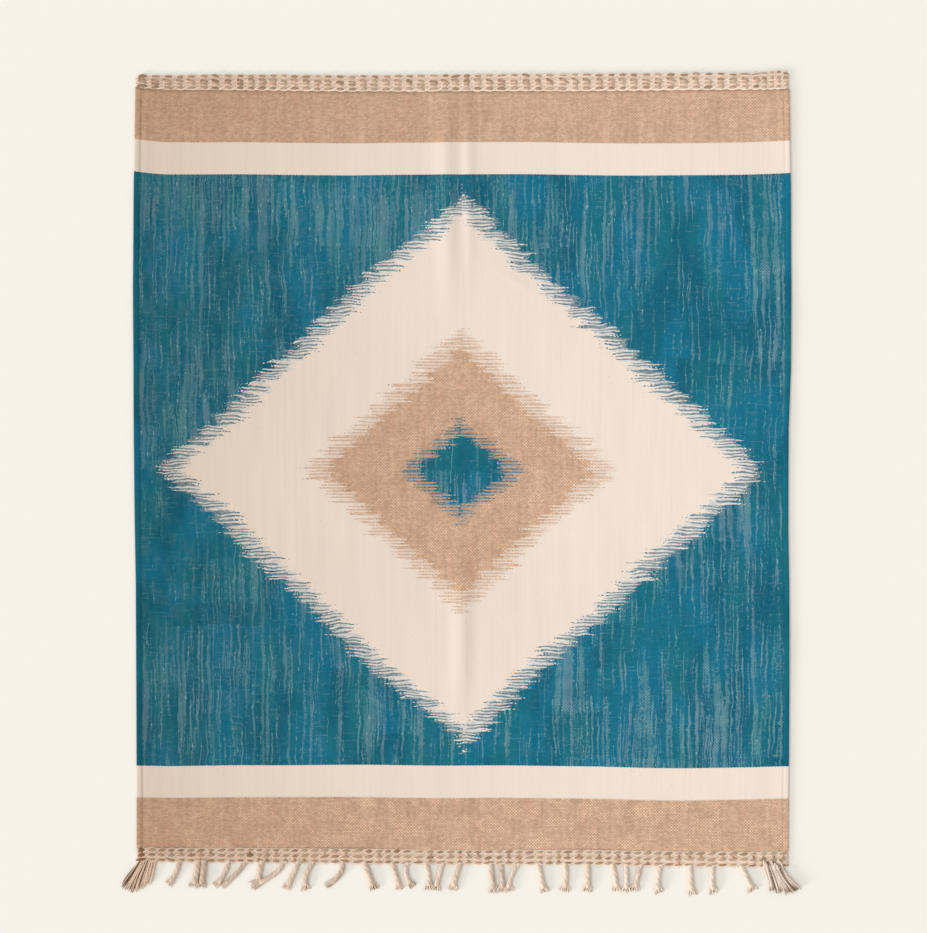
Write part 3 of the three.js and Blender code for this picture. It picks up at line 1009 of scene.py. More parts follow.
@dataclass
class Field:
    """The flat-woven cloth with its two selvedge cords, as one closed sheet."""

    cloth: Cloth
    thickness: float = 0.005
    selvedge_width: float = 0.022
    selvedge_crest: float = 0.0059
    selvedge_edge: float = 0.004
    selvedge_groove: float = 0.0046
    groove_end: float = 0.0396
    step_across: float = 0.0155
    step_along: float = 0.014
    rest: float = 0.0012
    unevenness: float = 0.0011
    unevenness_cell: tuple[float, float] = (0.16, 0.30)
    ripple: float = 0.0007
    ripple_cell: tuple[float, float] = (0.045, 0.20)
    curl_left: float = 0.0012
    curl_right: float = 0.0032
    curl_width: float = 0.07
    curl_sway: float = 0.5
    curl_cell: tuple[float, float] = (0.22, 1.0)
    selvedge_lines: tuple = (
        0, 0.002, 0.0045, 0.0075, 0.011, 0.0145, 0.018, 0.0205, 0.0225, 0.027, 0.033, 0.0396,
    )

    def insets(self) -> np.ndarray:
        """Insets of the grid's lines, which stand close together in the selvedges.

        Returns:
            The insets.
        """
        edge = np.array(self.selvedge_lines)
        count = round((self.cloth.width - 2 * edge[-1]) / self.step_across)
        middle = np.linspace(edge[-1], self.cloth.width - edge[-1], count + 1)[1:-1]
        return np.concatenate([edge, middle, (self.cloth.width - edge)[::-1]])

    def section(self, from_edge: np.ndarray) -> np.ndarray:
        """Thickness: a half-round cord at the edge, a groove beside it, and then the even cloth.

        Args:
            from_edge: Distances from the nearer long edge.

        Returns:
            The thicknesses.
        """
        middle = self.selvedge_width / 2
        arch = np.sqrt(np.clip(1 - ((from_edge - middle) / middle) ** 2, 0, 1))
        cord = self.selvedge_edge + (self.selvedge_crest - self.selvedge_edge) * arch
        rise = smooth(from_edge, self.selvedge_width, self.groove_end)
        beyond = self.selvedge_groove + (self.thickness - self.selvedge_groove) * rise
        return np.where(from_edge < self.selvedge_width, cord, beyond)

    def lift(self, x: np.ndarray, y: np.ndarray, inset: np.ndarray) -> np.ndarray:
        """Height of the underside: folds, creases, unevenness and curling edges, never below the floor.

        Args:
            x: Places across X.
            y: Places along Y.
            inset: The insets.

        Returns:
            The heights.
        """
        uneven = slow_noise(x, y, self.unevenness_cell, 3) * self.unevenness
        uneven += slow_noise(x, y, self.ripple_cell, 4) * self.ripple
        sway = 1 + self.curl_sway * slow_noise(y, 0.0, self.curl_cell, 5)
        left = (1 - smooth(inset, 0, self.curl_width)) * self.curl_left * sway
        right = (1 - smooth(self.cloth.width - inset, 0, self.curl_width)) * self.curl_right * sway
        folds = sum(fold.lift(x, y) for fold in FOLDS)
        creases = sum(crease.lift(x, y) for crease in CREASES)
        return np.maximum(self.rest + uneven + folds + creases + left + right, 0)

    def build(self) -> bpy.types.Object:
        """Makes the sheet: rows run from the fringed end to the plain end between their wandering lines.

        Returns:
            The dressed piece.
        """
        cloth = self.cloth
        shares = np.linspace(0, 1, round(cloth.length / self.step_along) + 1)
        share, inset = np.meshgrid(shares, self.insets(), indexing="ij")
        start = cloth.line_at(Line.FRINGED_INNER, inset) + cloth.clearance
        end = cloth.line_at(Line.PLAIN_INNER, inset) - cloth.clearance
        x = cloth.across_at(inset, cloth.centre_y + (share - 0.5) * cloth.length)
        y = start + (end - start) * share
        lift = self.lift(x, y, inset)
        thick = self.section(np.minimum(inset, cloth.width - inset))
        upper = np.stack([x, y, lift + thick], axis=-1)
        lower = np.stack([x, y, lift], axis=-1)
        uv = np.stack([inset - cloth.half_width, (share - 0.5) * cloth.length], axis=-1)
        surface = Surface()
        surface.add_sheet(upper, lower, uv)
        return dress(surface.build("woven_field"), WovenWool().material(), "rug_field")


@dataclass(frozen=True)
class StitchRow:
    """A row of stitches: its place across the band, and its lumps' half sizes, crest, slant and shade.

    The tip is how much darker a lump is at its left end: painted shade where the yarn dives under.
    """

    share: float
    half_length: float
    half_width: float
    crest: float
    slant: float
    shade: float
    tip: float


PLAIN_ROWS = (
    StitchRow(0.14, half_length=0.0158, half_width=0.0076, crest=0.0112, slant=-0.08, shade=0.56, tip=0.22),
    StitchRow(0.38, half_length=0.0158, half_width=0.0078, crest=0.0106, slant=-0.22, shade=0.44, tip=0.30),
    StitchRow(0.60, half_length=0.0172, half_width=0.0086, crest=0.0114, slant=-0.28, shade=0.58, tip=0.35),
    StitchRow(0.92, half_length=0.0150, half_width=0.0060, crest=0.0092, slant=-0.08, shade=0.66, tip=0.20),
)

FRINGED_ROWS = (
    StitchRow(0.13, half_length=0.0178, half_width=0.0086, crest=0.0104, slant=0.0, shade=0.58, tip=0.10),
    StitchRow(0.50, half_length=0.0184, half_width=0.0092, crest=0.0106, slant=0.0, shade=0.56, tip=0.10),
    StitchRow(0.86, half_length=0.0200, half_width=0.0056, crest=0.0088, slant=0.0, shade=0.62, tip=0.05),
)


@dataclass
class EndBand:
    """Rows of plaited stitches: tan lumps between pale strands that cross from stitch to stitch.

    Crowding is the share by which stitches close up at the right corner, necks are tan yarns that run from
    one row to the next, and worn gives the insets between which the outermost stitches have grown long.
    """

    cloth: Cloth
    name: str
    node: str
    slot: str
    inner: Line
    outer: Line
    stitches: int
    rows: tuple[StitchRow, ...]
    crowding: float
    corner_shade: float
    neck_share: float
    strand_radius: float
    strand_sway: float
    strand_height: float
    ground_shade: float
    pale: tuple
    tan: tuple
    seed: int
    worn: tuple[float, float] = (0.0, 0.0)
    worn_growth: tuple = (1.75, 0.62, 1.0)
    pale_groove: tuple = (0.640, 0.465, 0.340, 1)
    tan_groove: tuple = (0.275, 0.158, 0.093, 1)
    strand_lift: float = 0.0012
    strand_flatness: float = 0.8
    strand_stray: float = 0.0011
    stray_cell: tuple[float, float] = (0.03, 1.0)
    strand_shade: float = 0.16
    strand_shade_spread: float = 0.3
    shade_cell: tuple[float, float] = (0.05, 1.0)
    lowest_underside: float = 0.0004
    edge_strand_share: float = 0.03
    edge_strand_radius: float = 0.0027
    edge_strand_height: float = 0.0052
    edge_strand_sway: float = 0.0016
    steps_per_stitch: int = 8
    end_margin: float = 0.003
    unevenness: float = 0.09
    neck_half_width: float = 0.0070
    corner_length: float = 0.022
    corner_pinch: float = 0.24
    corner_middle: float = 0.35
    # Painted light: how much paler the lumps' sides and undersides are, against the shade there.
    painted_side_light: float = 0.50
    ground_crest: float = 0.0062
    ground_edge: float = 0.0040
    ground_underside: float = 0.0003
    ground_margin: float = 0.001
    ground_profile: tuple = (0.02, 0.06, 0.2, 0.4, 0.6, 0.8, 0.91, 0.95, 0.95, 0.02)
    lens_sections: tuple = (-0.985, -0.86, -0.66, -0.4, -0.13, 0.13, 0.4, 0.66, 0.86, 0.985)
    lens_sides: int = 12
    lens_power: float = 0.72
    lens_groove: float = 0.09
    lens_yarns: int = 5
    lens_twist: float = 3.2
    lump_stray: tuple[float, float] = (0.0012, 0.0009)
    lump_spread: tuple[float, float, float] = (0.10, 0.16, 0.05)
    lump_turn_spread: float = 0.10
    lump_shade_spread: float = 0.09
    lump_half_height: float = 0.46
    lump_centre: float = 0.56
    corner_widening: float = 0.3
    corner_lumps: tuple[float, float] = (0.022, 0.050)
    neck_overlap: float = 0.002
    neck_centre: float = 0.52
    neck_turn_spread: float = 0.15
    neck_shade: float = 0.05
    neck_shade_spread: float = 0.12

    def edges(self) -> np.ndarray:
        """Insets between the stitches: uneven steps, scaled to the width, shorter at the right corner.

        Returns:
            The insets, one more than there are stitches.
        """
        rng = np.random.default_rng(self.seed + 20)
        place = (np.arange(self.stitches) + 0.5) / self.stitches
        step = rng.normal(1, self.unevenness, self.stitches)
        step *= 1 - self.crowding * smooth(place, 0.90, 0.94)
        edges = np.concatenate([[0], np.cumsum(step)])
        return edges * self.cloth.width / edges[-1]

    def at(self, inset: np.ndarray, share: "np.ndarray | float") -> tuple[np.ndarray, np.ndarray]:
        """Place of a point of the band, whose outer side is drawn in at both corners.

        Args:
            inset: The insets.
            share: Shares of the band's width, from the field's side outwards.

        Returns:
            The places across X and along Y.
        """
        inner = self.cloth.line_at(self.inner, inset)
        outer = self.cloth.line_at(self.outer, inset)
        x = self.cloth.across_at(inset, self.cloth.line_y(self.inner))
        from_end = np.minimum(inset, self.cloth.width - inset)
        drawn_in = 1 - self.corner_pinch * (1 - smooth(from_end, 0, self.corner_length))
        return x, inner + (outer - inner) * (self.corner_middle + (share - self.corner_middle) * drawn_in)

    def ground(self) -> Surface:
        """The strip under the stitches: a low arch with a flat underside, carried across the cloth.

        Returns:
            The surface.
        """
        margin = self.ground_margin
        inset = np.linspace(margin, self.cloth.width - margin, self.stitches * 2 + 1)
        profile = np.array(self.ground_profile)
        arch = np.sqrt(np.clip(1 - (2 * profile - 1) ** 2, 0, 1))
        height = self.ground_edge + (self.ground_crest - self.ground_edge) * arch
        height[-2:] = self.ground_underside
        if self.cloth.line_y(self.outer) > self.cloth.line_y(self.inner):
            profile = profile[::-1]
            height = height[::-1]
        x, y = self.at(*np.meshgrid(inset, profile, indexing="ij"))
        rings = np.stack(np.broadcast_arrays(x, y, height), axis=-1)[None]
        surface = Surface()
        surface.add_rings(rings, rings[..., :2], self.ground_shade)
        return surface

    def strands(self) -> Surface:
        """Pale strands: two a row, a sine aside and a cosine over and under, and a wavy one at the edge.

        Returns:
            The surface.
        """
        stitch = np.arange(self.stitches * self.steps_per_stitch + 1) / self.steps_per_stitch
        turn = math.pi * stitch
        inset = np.interp(stitch, np.arange(self.stitches + 1), self.edges())
        inset = self.end_margin + inset * (1 - 2 * self.end_margin / self.cloth.width)
        surface = Surface()
        rng = np.random.default_rng(self.seed)
        for row in self.rows:
            flat = row.crest / self.rows[0].crest
            for sign in (1, -1):
                x, y = self.at(inset, row.share)
                stray = slow_noise(inset, 0.0, self.stray_cell, int(rng.integers(1, 999)))
                y = y + sign * self.strand_sway * np.sin(turn) * flat + stray * self.strand_stray
                z = (self.strand_height + sign * self.strand_lift * np.cos(turn)) * flat
                shade = slow_noise(inset, 0.0, self.shade_cell, int(rng.integers(1, 999)))
                tone = self.strand_shade + self.strand_shade_spread * shade
                lowest = self.strand_radius * self.strand_flatness + self.lowest_underside
                path = np.stack([x, y, np.maximum(z, lowest)], axis=-1)
                radius = self.strand_radius * flat
                surface.add_yarns(path[None], radius, tone, sides=7, flatten=self.strand_flatness)
        x, y = self.at(inset, self.edge_strand_share)
        y = y + self.edge_strand_sway * np.cos(2 * turn)
        path = np.stack([x, y, np.full_like(x, self.edge_strand_height)], axis=-1)
        surface.add_yarns(path[None], self.edge_strand_radius, 0.0, sides=7, flatten=0.9)
        return surface

    def lenses(
        self,
        surface: Surface,
        place: np.ndarray,
        size: np.ndarray,
        slant: np.ndarray,
        tone: np.ndarray,
        tip: float = 0.0,
    ) -> None:
        """Adds lens-shaped lumps: an oval section, grooved lengthwise, that narrows to a point at both ends.

        Args:
            surface: The surface that takes them.
            place: Centres, in the shape (lumps, 3).
            size: Half sizes along, across and upwards, in the same shape.
            slant: Turns about the vertical, in radians.
            tone: Their numbers for the attribute.
            tip: How much more the attribute is at the left end: painted shade.
        """
        t = np.array(self.lens_sections)
        angle = TAU * np.arange(self.lens_sides) / self.lens_sides
        swell = (1 - t**2) ** self.lens_power
        groove = 1 + self.lens_groove * np.cos(self.lens_yarns * angle + self.lens_twist * t[:, None])
        along = t[:, None] * size[:, None, None, 0]
        aside = swell[:, None] * np.cos(angle) * groove * size[:, None, None, 1]
        above = swell[:, None] * np.sin(angle) * groove * size[:, None, None, 2]
        cos = np.cos(slant)[:, None, None]
        sin = np.sin(slant)[:, None, None]
        rings = np.stack([along * cos - aside * sin, along * sin + aside * cos, above], axis=-1)
        uv = np.stack(np.broadcast_arrays(along, angle / TAU), axis=-1)
        # Painted shade darkens each lump's left end; painted light makes its sides and underside paler.
        darker = tip * smooth(-t, 0.2, 0.9)[:, None] - self.painted_side_light * (1 - np.sin(angle))
        surface.add_rings(rings + place[:, None, None], uv, tone[:, None, None] + darker)

    def lumps(self) -> Surface:
        """Lumps of the rows, each in the middle of its stitch, and the necks between some of them.

        Returns:
            The surface.
        """
        rng = np.random.default_rng(self.seed + 50)
        edges = self.edges()
        middle = (edges[1:] + edges[:-1]) / 2
        room = np.diff(edges) * self.stitches / self.cloth.width
        corner = 1 - smooth(middle, *self.corner_lumps)
        worn = (middle > self.worn[0]) & (middle < self.worn[1])
        count = self.stitches
        surface = Surface()
        for row in self.rows:
            x, y = self.at(middle + rng.normal(0, self.lump_stray[0], count), row.share)
            y = y + rng.normal(0, self.lump_stray[1], count)
            long = row.half_length * room
            wide = row.half_width * (1 + self.corner_widening * corner)
            high = row.crest * self.lump_half_height
            sizes = zip((long, wide, high), self.lump_spread)
            size = np.stack([even * rng.normal(1, spread, count) for even, spread in sizes], axis=-1)
            if row == self.rows[-1]:
                size[worn] *= self.worn_growth
            place = np.stack([x, y, np.full(count, row.crest * self.lump_centre)], axis=-1)
            slant = row.slant + rng.normal(0, self.lump_turn_spread, count)
            tone = row.shade + rng.normal(0, self.lump_shade_spread, count) + self.corner_shade * corner
            self.lenses(surface, place, size, slant, tone, row.tip)
        for near, far in zip(self.rows[:-1], self.rows[1:]):
            chosen = middle[rng.random(count) < self.neck_share]
            x, y = self.at(chosen, (near.share + far.share) / 2)
            long = (far.share - near.share) * self.cloth.plain_band * 0.5 + self.neck_overlap
            crest = min(near.crest, far.crest)
            size = np.tile([long, self.neck_half_width, crest * self.lump_half_height], (len(chosen), 1))
            place = np.stack([x, y, np.full_like(x, crest * self.neck_centre)], axis=-1)
            slant = math.pi / 2 + rng.normal(0, self.neck_turn_spread, len(chosen))
            tone = near.shade + rng.normal(self.neck_shade, self.neck_shade_spread, len(chosen))
            self.lenses(surface, place, size, slant, tone)
        return surface

    def build(self) -> list[bpy.types.Object]:
        """Makes and dresses the three pieces.

        Returns:
            The pieces.
        """
        pale = SpunWool(
            name=f"{self.name}_pale_wool",
            light=self.pale,
            dark=self.pale_groove,
            turns=110,
            strands=2,
            groove=0.12,
            blush=0.5,
        ).material()
        tan = SpunWool(
            name=f"{self.name}_tan_wool",
            light=self.tan,
            dark=self.tan_groove,
            turns=60,
            strands=4,
            groove=0.20,
            blush=0.8,
        ).material()
        parts = (
            ("ground", self.ground(), pale),
            ("strands", self.strands(), pale),
            ("stitches", self.lumps(), tan),
        )
        return [
            dress(surface.build(f"{self.name}_{part}"), wool, self.node)
            for part, surface, wool in parts
        ]


@dataclass(frozen=True)
class Cord:
    """A fringe cord: root across X, lean of the tip, bow of the middle, reach, width and tip's width."""

    root: float
    lean: float
    bow: float
    reach: float
    width: float
    tip: float
    shade: float = 0.25


CORDS = (
    Cord(root=-1.084, lean=-0.042, bow=0.007, reach=0.087, width=0.017, tip=0.022),
    Cord(root=-1.013, lean=-0.017, bow=0.002, reach=0.097, width=0.022, tip=0.034),
    Cord(root=-0.989, lean=-0.009, bow=0.000, reach=0.097, width=0.022, tip=0.034, shade=0.4),
    Cord(root=-0.897, lean=-0.052, bow=0.010, reach=0.092, width=0.016, tip=0.018),
    Cord(root=-0.831, lean=-0.090, bow=0.006, reach=0.092, width=0.015, tip=0.017, shade=0.4),
    Cord(root=-0.769, lean=-0.014, bow=-0.001, reach=0.074, width=0.019, tip=0.019),
    Cord(root=-0.688, lean=-0.122, bow=0.026, reach=0.090, width=0.016, tip=0.032),
    Cord(root=-0.630, lean=-0.046, bow=0.002, reach=0.100, width=0.018, tip=0.025),
    Cord(root=-0.573, lean=-0.023, bow=-0.014, reach=0.102, width=0.017, tip=0.030, shade=0.35),
    Cord(root=-0.461, lean=-0.063, bow=0.022, reach=0.086, width=0.016, tip=0.020, shade=0.5),
    Cord(root=-0.374, lean=0.035, bow=0.002, reach=0.100, width=0.018, tip=0.030, shade=0.4),
    Cord(root=-0.268, lean=0.028, bow=0.002, reach=0.098, width=0.016, tip=0.025, shade=0.35),
    Cord(root=-0.212, lean=0.025, bow=-0.015, reach=0.088, width=0.016, tip=0.026),
    Cord(root=-0.139, lean=0.010, bow=0.005, reach=0.098, width=0.017, tip=0.034),
    Cord(root=-0.077, lean=-0.026, bow=-0.002, reach=0.098, width=0.017, tip=0.034),
    Cord(root=-0.010, lean=-0.027, bow=-0.003, reach=0.098, width=0.018, tip=0.028, shade=0.35),
    Cord(root=0.108, lean=0.010, bow=0.001, reach=0.107, width=0.017, tip=0.034, shade=0.45),
    Cord(root=0.147, lean=0.004, bow=0.002, reach=0.107, width=0.016, tip=0.034, shade=0.45),
    Cord(root=0.212, lean=-0.034, bow=-0.012, reach=0.102, width=0.016, tip=0.032),
    Cord(root=0.292, lean=0.023, bow=-0.002, reach=0.105, width=0.018, tip=0.031),
    Cord(root=0.392, lean=-0.006, bow=0.006, reach=0.101, width=0.018, tip=0.036),
    Cord(root=0.479, lean=0.000, bow=0.001, reach=0.101, width=0.018, tip=0.033, shade=0.35),
    Cord(root=0.573, lean=0.016, bow=0.004, reach=0.098, width=0.017, tip=0.032),
    Cord(root=0.625, lean=0.000, bow=0.003, reach=0.101, width=0.017, tip=0.032),
    Cord(root=0.682, lean=-0.024, bow=-0.002, reach=0.096, width=0.017, tip=0.034, shade=0.35),
    Cord(root=0.758, lean=-0.005, bow=-0.008, reach=0.104, width=0.018, tip=0.030),
    Cord(root=0.872, lean=0.010, bow=-0.004, reach=0.109, width=0.018, tip=0.031),
    Cord(root=0.958, lean=0.005, bow=-0.005, reach=0.102, width=0.017, tip=0.029),
    Cord(root=1.068, lean=0.044, bow=0.001, reach=0.092, width=0.017, tip=0.034),
)

LEFT_LOCKS = (
    Cord(root=-1.235, lean=-0.070, bow=0.002, reach=0.100, width=0.010, tip=0.014, shade=0.65),
    Cord(root=-1.227, lean=-0.060, bow=0.000, reach=0.109, width=0.010, tip=0.014, shade=0.50),
    Cord(root=-1.219, lean=-0.050, bow=-0.001, reach=0.116, width=0.010, tip=0.014, shade=0.60),
    Cord(root=-1.211, lean=-0.040, bow=-0.002, reach=0.115, width=0.010, tip=0.014, shade=0.30),
    Cord(root=-1.197, lean=-0.033, bow=-0.001, reach=0.105, width=0.014, tip=0.018, shade=0.05),
    Cord(root=-1.178, lean=-0.030, bow=0.000, reach=0.094, width=0.017, tip=0.022, shade=0.0),
)

RIGHT_LOCKS = (
    Cord(root=1.163, lean=0.022, bow=0.004, reach=0.090, width=0.019, tip=0.027, shade=0.0),
    Cord(root=1.183, lean=0.034, bow=0.001, reach=0.096, width=0.018, tip=0.026, shade=0.30),
    Cord(root=1.203, lean=0.050, bow=-0.003, reach=0.103, width=0.017, tip=0.026, shade=0.20),
    Cord(root=1.220, lean=0.064, bow=-0.007, reach=0.092, width=0.017, tip=0.026, shade=0.30),
)


@dataclass
class Fringe:
    """Cords of twisted warp ends along the fringed band, each with a short frayed tip on the floor."""

    cloth: Cloth
    plies: int = 3
    bulk: float = 1.16
    ply_offset: float = 0.27
    ply_radius: float = 0.73
    pitch: float = 0.070
    stations: int = 44
    root_depth: float = 0.010
    root_start: float = -0.9
    root_flatness: float = 0.62
    underside: float = 0.0004
    end_taper: float = 0.35
    tip_start: float = 0.78
    tip_overlap: float = 0.06
    tip_bundle: float = 0.36
    tip_fan: float = 0.64
    tip_stray: float = 0.0014
    tip_yarns: int = 13
    tip_stations: int = 10
    yarn_radius: float = 0.0021
    flatten: float = 0.74
    light: tuple = (0.815, 0.665, 0.548, 1)
    dark: tuple = (0.390, 0.255, 0.170, 1)
    seed: int = 21

    def centre(self, cord: Cord, s: np.ndarray, root_depth: float) -> np.ndarray:
        """Centre line: a straight lean plus a parabola for the bow, from within the band to the tip.

        Args:
            cord: The cord.
            s: Shares of the reach, or of the root's depth where they lie below nothing.
            root_depth: How deep the root reaches into or over the band.

        Returns:
            The points, on the floor.
        """
        start = self.cloth.line_at(Line.FRINGED_OUTER, np.array(cord.root + self.cloth.half_width))
        ahead = np.maximum(s, 0)
        run = np.where(s < 0, s * root_depth, s * cord.reach)
        x = cord.root + cord.lean * run / cord.reach + cord.bow * 4 * ahead * (1 - ahead)
        return np.stack([x, start - run, np.zeros_like(x)], axis=-1)

    def cords(self) -> Surface:
        """Twisted cords: each ply winds round the centre line on a helix, flattened a little by its weight.

        Returns:
            The surface.
        """
        surface = Surface()
        s = np.linspace(self.root_start, self.tip_start + self.tip_overlap, self.stations)
        flat = self.flatten * (self.root_flatness + (1 - self.root_flatness) * smooth(s, 0, 0.3))
        end = 1 - self.end_taper * smooth(s, self.tip_start - 0.05, self.tip_start + self.tip_overlap)
        turn = TAU * np.arange(self.plies)[:, None] / self.plies
        for number, cord in enumerate(CORDS):
            path = self.centre(cord, s, self.root_depth)
            half = cord.width * self.bulk / 2
            path[:, 2] = half * flat * (self.ply_offset + self.ply_radius) + self.underside
            sideways, upwards = path_frames(path[None])
            along = np.concatenate([[0], np.cumsum(np.linalg.norm(np.diff(path, axis=0), axis=-1))])
            angle = TAU * along / self.pitch + turn + number
            out = np.cos(angle)[..., None] * sideways
            rise = np.sin(angle)[..., None] * upwards * flat[:, None]
            paths = path + (out + rise) * half * self.ply_offset
            tone = cord.shade + 0.08 * np.cos(turn)
            surface.add_yarns(paths, half * self.ply_radius * end, tone, sides=8, flatten=flat)
        return surface

    def tips(self) -> Surface:
        """Frayed tips: yarn ends that leave the cord together, fan out and sink to the floor.

        Returns:
            The surface.
        """
        surface = Surface()
        rng = np.random.default_rng(self.seed)
        count = self.tip_yarns
        odd = np.arange(count) % 2
        share = np.linspace(0, 1, self.tip_stations)
        start = self.tip_start - 0.14
        for cord in CORDS:
            end = self.tip_start + (1 - self.tip_start) * rng.uniform(0.80, 1.10, count)
            paths = self.centre(cord, start + (end[:, None] - start) * share, self.root_depth)
            sideways, _ = path_frames(paths)
            spread = np.linspace(-1, 1, count) + rng.normal(0, 0.08, count)
            close = (spread * cord.width * self.bulk * self.tip_bundle)[:, None]
            wide = (spread * cord.tip * self.tip_fan)[:, None]
            aside = close + (wide - close) * smooth(share, 0.1, 1.1)
            aside = aside + rng.normal(0, self.tip_stray, (count, 1)) * share**2
            layer = (0.35 + 0.55 * (1 - odd) * rng.uniform(0.6, 1, count))[:, None]
            high = cord.width * self.flatten * 0.72 * layer
            low = self.yarn_radius + layer * cord.tip * 0.10
            paths = paths + sideways * aside[..., None]
            paths[..., 2] = high + (low - high) * smooth(share, 0.15, 1)
            radius = self.yarn_radius * (1 - 0.5 * smooth(share, 0.8, 1)) * (1 - 0.25 * odd[:, None])
            # The lower, thinner odd yarns turn dark towards the ends: brown yarn, and painted shade of the
            # gaps between the pale ends.
            dark = (odd * 1.0 + rng.normal(-0.05, 0.16, count))[:, None]
            tone = cord.shade * 0.6 + dark * 1.15 * smooth(share, 0.25, 0.75)
            surface.add_yarns(paths, radius, tone, sides=5)
        return surface

    def build(self) -> list[bpy.types.Object]:
        """Makes and dresses the cords and their tips.

        Returns:
            The pieces.
        """
        wool = SpunWool(
            name="fringe_wool",
            light=self.light,
            dark=self.dark,
            turns=140,
            strands=3,
            groove=0.08,
            speckle=2.6,
        ).material()
        cords = dress(self.cords().build("fringe_cords"), wool, "end_band_fringed")
        tips = dress(self.tips().build("fringe_tips"), wool, "end_band_fringed")
        return [cords, tips]


@dataclass
class CornerTassel:
    """Loose locks of long yarns that spread from one corner of the fringed band."""

    fringe: Fringe
    name: str
    locks: tuple[Cord, ...]
    light: tuple
    dark: tuple
    yarns_per_lock: int
    yarn_radius: float
    seed: int
    over_band: float = 0.0
    band_top: float = 0.0058
    tucked_in: float = 0.006
    spread: float = 0.44
    root_pile: float = 0.42
    tip_pile: float = 0.22
    stations: int = 20
    sway: float = 0.0022
    tip_shade: float = -0.15

    def surface(self) -> Surface:
        """Long yarns: each keeps its own place across its lock, sways a little and ends on the floor.

        Returns:
            The surface.
        """
        made = Surface()
        rng = np.random.default_rng(self.seed)
        count = self.yarns_per_lock
        share = np.linspace(0, 1, self.stations)
        for lock in self.locks:
            end = rng.uniform(0.86, 1.03, (count, 1))
            begin = -rng.uniform(0.2, 1.0, (count, 1)) if self.over_band else -0.6
            s = begin + (end - begin) * share
            paths = self.fringe.centre(lock, s, max(self.over_band, self.fringe.root_depth))
            sideways, _ = path_frames(paths)
            place = np.linspace(-1, 1, count) + rng.normal(0, 0.15, count)
            half = lock.width + (lock.tip - lock.width) * smooth(share, 0.5, 1)
            sway = rng.normal(0, self.sway, (count, 1)) * np.sin(share * rng.uniform(3, 7, (count, 1)))
            aside = place[:, None] * half * self.spread + sway
            layer = rng.uniform(0, 1, (count, 1))
            high = self.yarn_radius + layer * lock.width * self.root_pile
            low = self.yarn_radius + layer * lock.tip * self.tip_pile
            paths = paths + sideways * aside[..., None]
            z = (high + (low - high) * smooth(share, 0.4, 1)) * (0.55 + 0.45 * smooth(s, 0, 0.3))
            if self.over_band:
                z += self.band_top * (1 - smooth(s, -0.25, 0.22))
                z -= self.tucked_in * (1 - smooth(share, 0, 0.1))
            paths[..., 2] = np.maximum(z, self.yarn_radius)
            thick = self.yarn_radius * rng.uniform(0.6, 1, (count, 1))
            dark = np.where(rng.random((count, 1)) < lock.shade, 0.95, 0.05)
            tone = dark + rng.normal(0, 0.10, (count, 1)) + self.tip_shade * smooth(share, 0.8, 1)
            made.add_yarns(paths, thick * (1 - 0.5 * smooth(share, 0.85, 1)), tone)
        return made

    def build(self) -> bpy.types.Object:
        """Makes and dresses the tassel.

        Returns:
            The piece.
        """
        wool = SpunWool(
            name=f"{self.name}_wool",
            light=self.light,
            dark=self.dark,
            turns=160,
            strands=2,
            groove=0.2,
        ).material()
        return dress(self.surface().build(self.name), wool, "end_band_fringed")


@dataclass(frozen=True)
class Lamp:
    """A far soft lamp: its strength, its width as an angle, its angle from straight above, and its turn.

    The angles are in degrees, and a turn of nothing lights from the fringed end.
    """

    name: str
    strength: float
    softness: float
    tilt: float
    turn: float

    def build(self) -> None:
        """Puts the lamp into the scene."""
        lamp = bpy.data.lights.new(self.name, "SUN")
        lamp.energy = self.strength
        lamp.angle = math.radians(self.softness)
        holder = bpy.data.objects.new(self.name, lamp)
        holder.rotation_euler = (math.radians(self.tilt), 0, math.radians(self.turn))
        bpy.context.scene.collection.objects.link(holder)


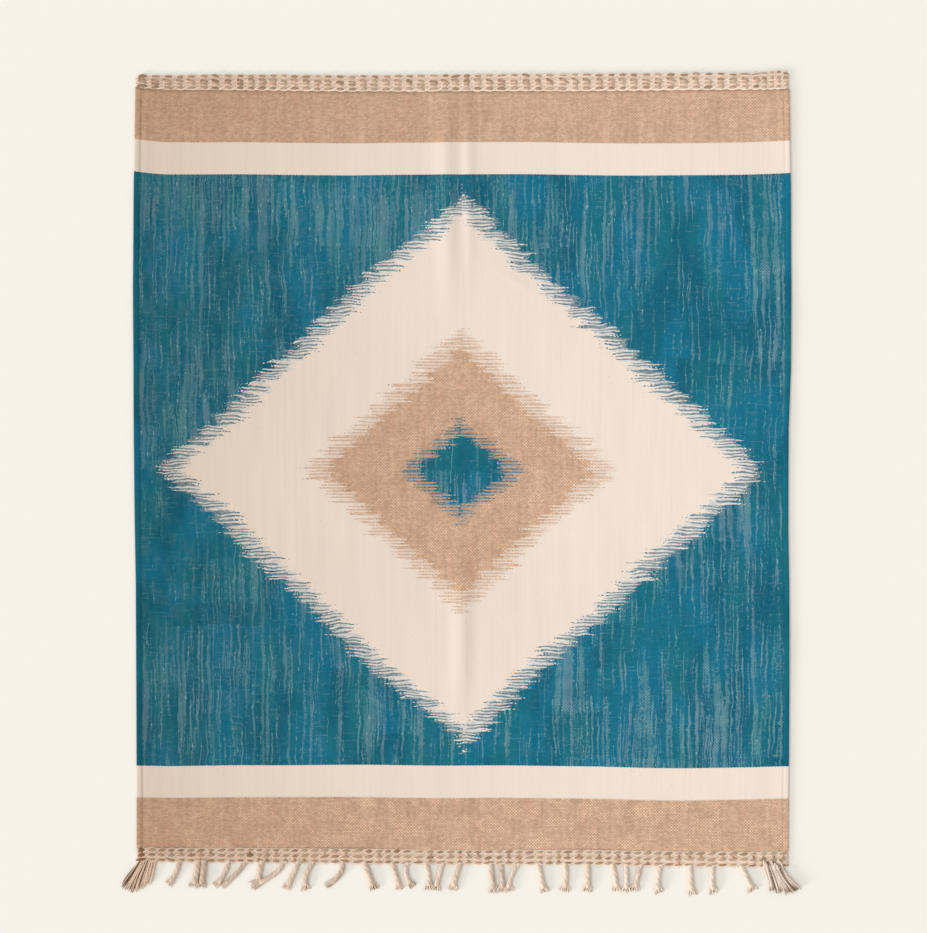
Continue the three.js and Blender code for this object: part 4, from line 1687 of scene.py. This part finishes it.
@dataclass
class Studio:
    """A plain pale floor, a large soft lamp on the left, a low one that draws the shadows, and a camera."""

    image_side: int = 933
    metres_per_pixel: float = 0.003828
    centre_x: float = 0.0038
    centre_y: float = 0.0616
    lens: float = 100.0
    sensor: float = 36.0
    floor_side: float = 40.0
    floor_drop: float = 0.0004
    ambient: float = 0.76
    lamps: tuple[Lamp, ...] = (
        Lamp("key", strength=0.95, softness=40.0, tilt=40.0, turn=-70.0),
        Lamp("low", strength=2.3, softness=14.0, tilt=78.0, turn=-58.0),
    )

    def floor(self) -> None:
        """A level square under the cloth, left out of the object's body."""
        half = self.floor_side / 2
        corners = [(-half, -half), (half, -half), (half, half), (-half, half)]
        mesh = bpy.data.meshes.new("floor")
        mesh.from_pydata([(x, y, -self.floor_drop) for x, y in corners], [], [(0, 1, 2, 3)])
        floor = bpy.data.objects.new("floor", mesh)
        bpy.context.scene.collection.objects.link(floor)
        mesh.materials.append(PaintedFloor().material())

    def surround(self) -> None:
        """An even white surround."""
        world = bpy.data.worlds.new("surround")
        bpy.context.scene.world = world
        world.use_nodes = True
        background = world.node_tree.nodes["Background"]
        background.inputs["Color"].default_value = WHITE
        background.inputs["Strength"].default_value = self.ambient

    def camera(self) -> None:
        """A long lens straight above, framed so that one pixel is the photographed length of cloth."""
        camera = bpy.data.cameras.new("camera")
        camera.lens = self.lens
        camera.sensor_width = self.sensor
        holder = bpy.data.objects.new("camera", camera)
        height = self.image_side * self.metres_per_pixel * self.lens / self.sensor
        holder.location = (self.centre_x, self.centre_y, height)
        bpy.context.scene.collection.objects.link(holder)
        bpy.context.scene.camera = holder

    def build(self) -> None:
        """Sets the scene and keeps colours as plain as they are given."""
        self.camera()
        self.floor()
        self.surround()
        for lamp in self.lamps:
            lamp.build()
        bpy.context.scene.view_settings.view_transform = "Standard"
        log.info("studio ready")


def main() -> None:
    """Builds the scene in order and reports each piece."""
    logging.basicConfig(level=logging.INFO, format="%(name)s: %(message)s")
    Studio().build()
    cloth = Cloth()
    woven = Field(cloth).build()
    plain = EndBand(
        cloth=cloth,
        name="plain_band",
        node="end_band_plain",
        slot="plaited_wool",
        inner=Line.PLAIN_INNER,
        outer=Line.PLAIN_OUTER,
        stitches=57,
        rows=PLAIN_ROWS,
        crowding=0.42,
        corner_shade=-0.1,
        neck_share=0.0,
        strand_radius=0.0037,
        strand_sway=0.0060,
        strand_height=0.0050,
        ground_shade=0.5,
        pale=(0.870, 0.715, 0.590, 1),
        tan=(0.785, 0.608, 0.460, 1),
        seed=7,
        worn=(2.290, 2.420),
    ).build()
    fringed = EndBand(
        cloth=cloth,
        name="fringed_band",
        node="end_band_fringed",
        slot="fringe_wool",
        inner=Line.FRINGED_INNER,
        outer=Line.FRINGED_OUTER,
        stitches=65,
        rows=FRINGED_ROWS,
        crowding=0.0,
        corner_shade=0.9,
        neck_share=0.45,
        strand_radius=0.0040,
        strand_sway=0.0080,
        strand_height=0.0054,
        ground_shade=0.35,
        pale=(0.790, 0.635, 0.505, 1),
        tan=(0.735, 0.537, 0.392, 1),
        seed=9,
    ).build()
    fringe = Fringe(cloth)
    cords = fringe.build()
    left = CornerTassel(
        fringe=fringe,
        name="left_tassel",
        locks=LEFT_LOCKS,
        light=(0.890, 0.705, 0.550, 1),
        dark=(0.200, 0.108, 0.066, 1),
        yarns_per_lock=8,
        yarn_radius=0.0033,
        seed=31,
    ).build()
    right = CornerTassel(
        fringe=fringe,
        name="right_tassel",
        locks=RIGHT_LOCKS,
        light=(0.790, 0.640, 0.525, 1),
        dark=(0.270, 0.165, 0.108, 1),
        yarns_per_lock=8,
        yarn_radius=0.0044,
        seed=36,
        over_band=0.030,
        sway=0.0030,
        tip_shade=0.6,
    ).build()


if __name__ == "__main__":
    main()
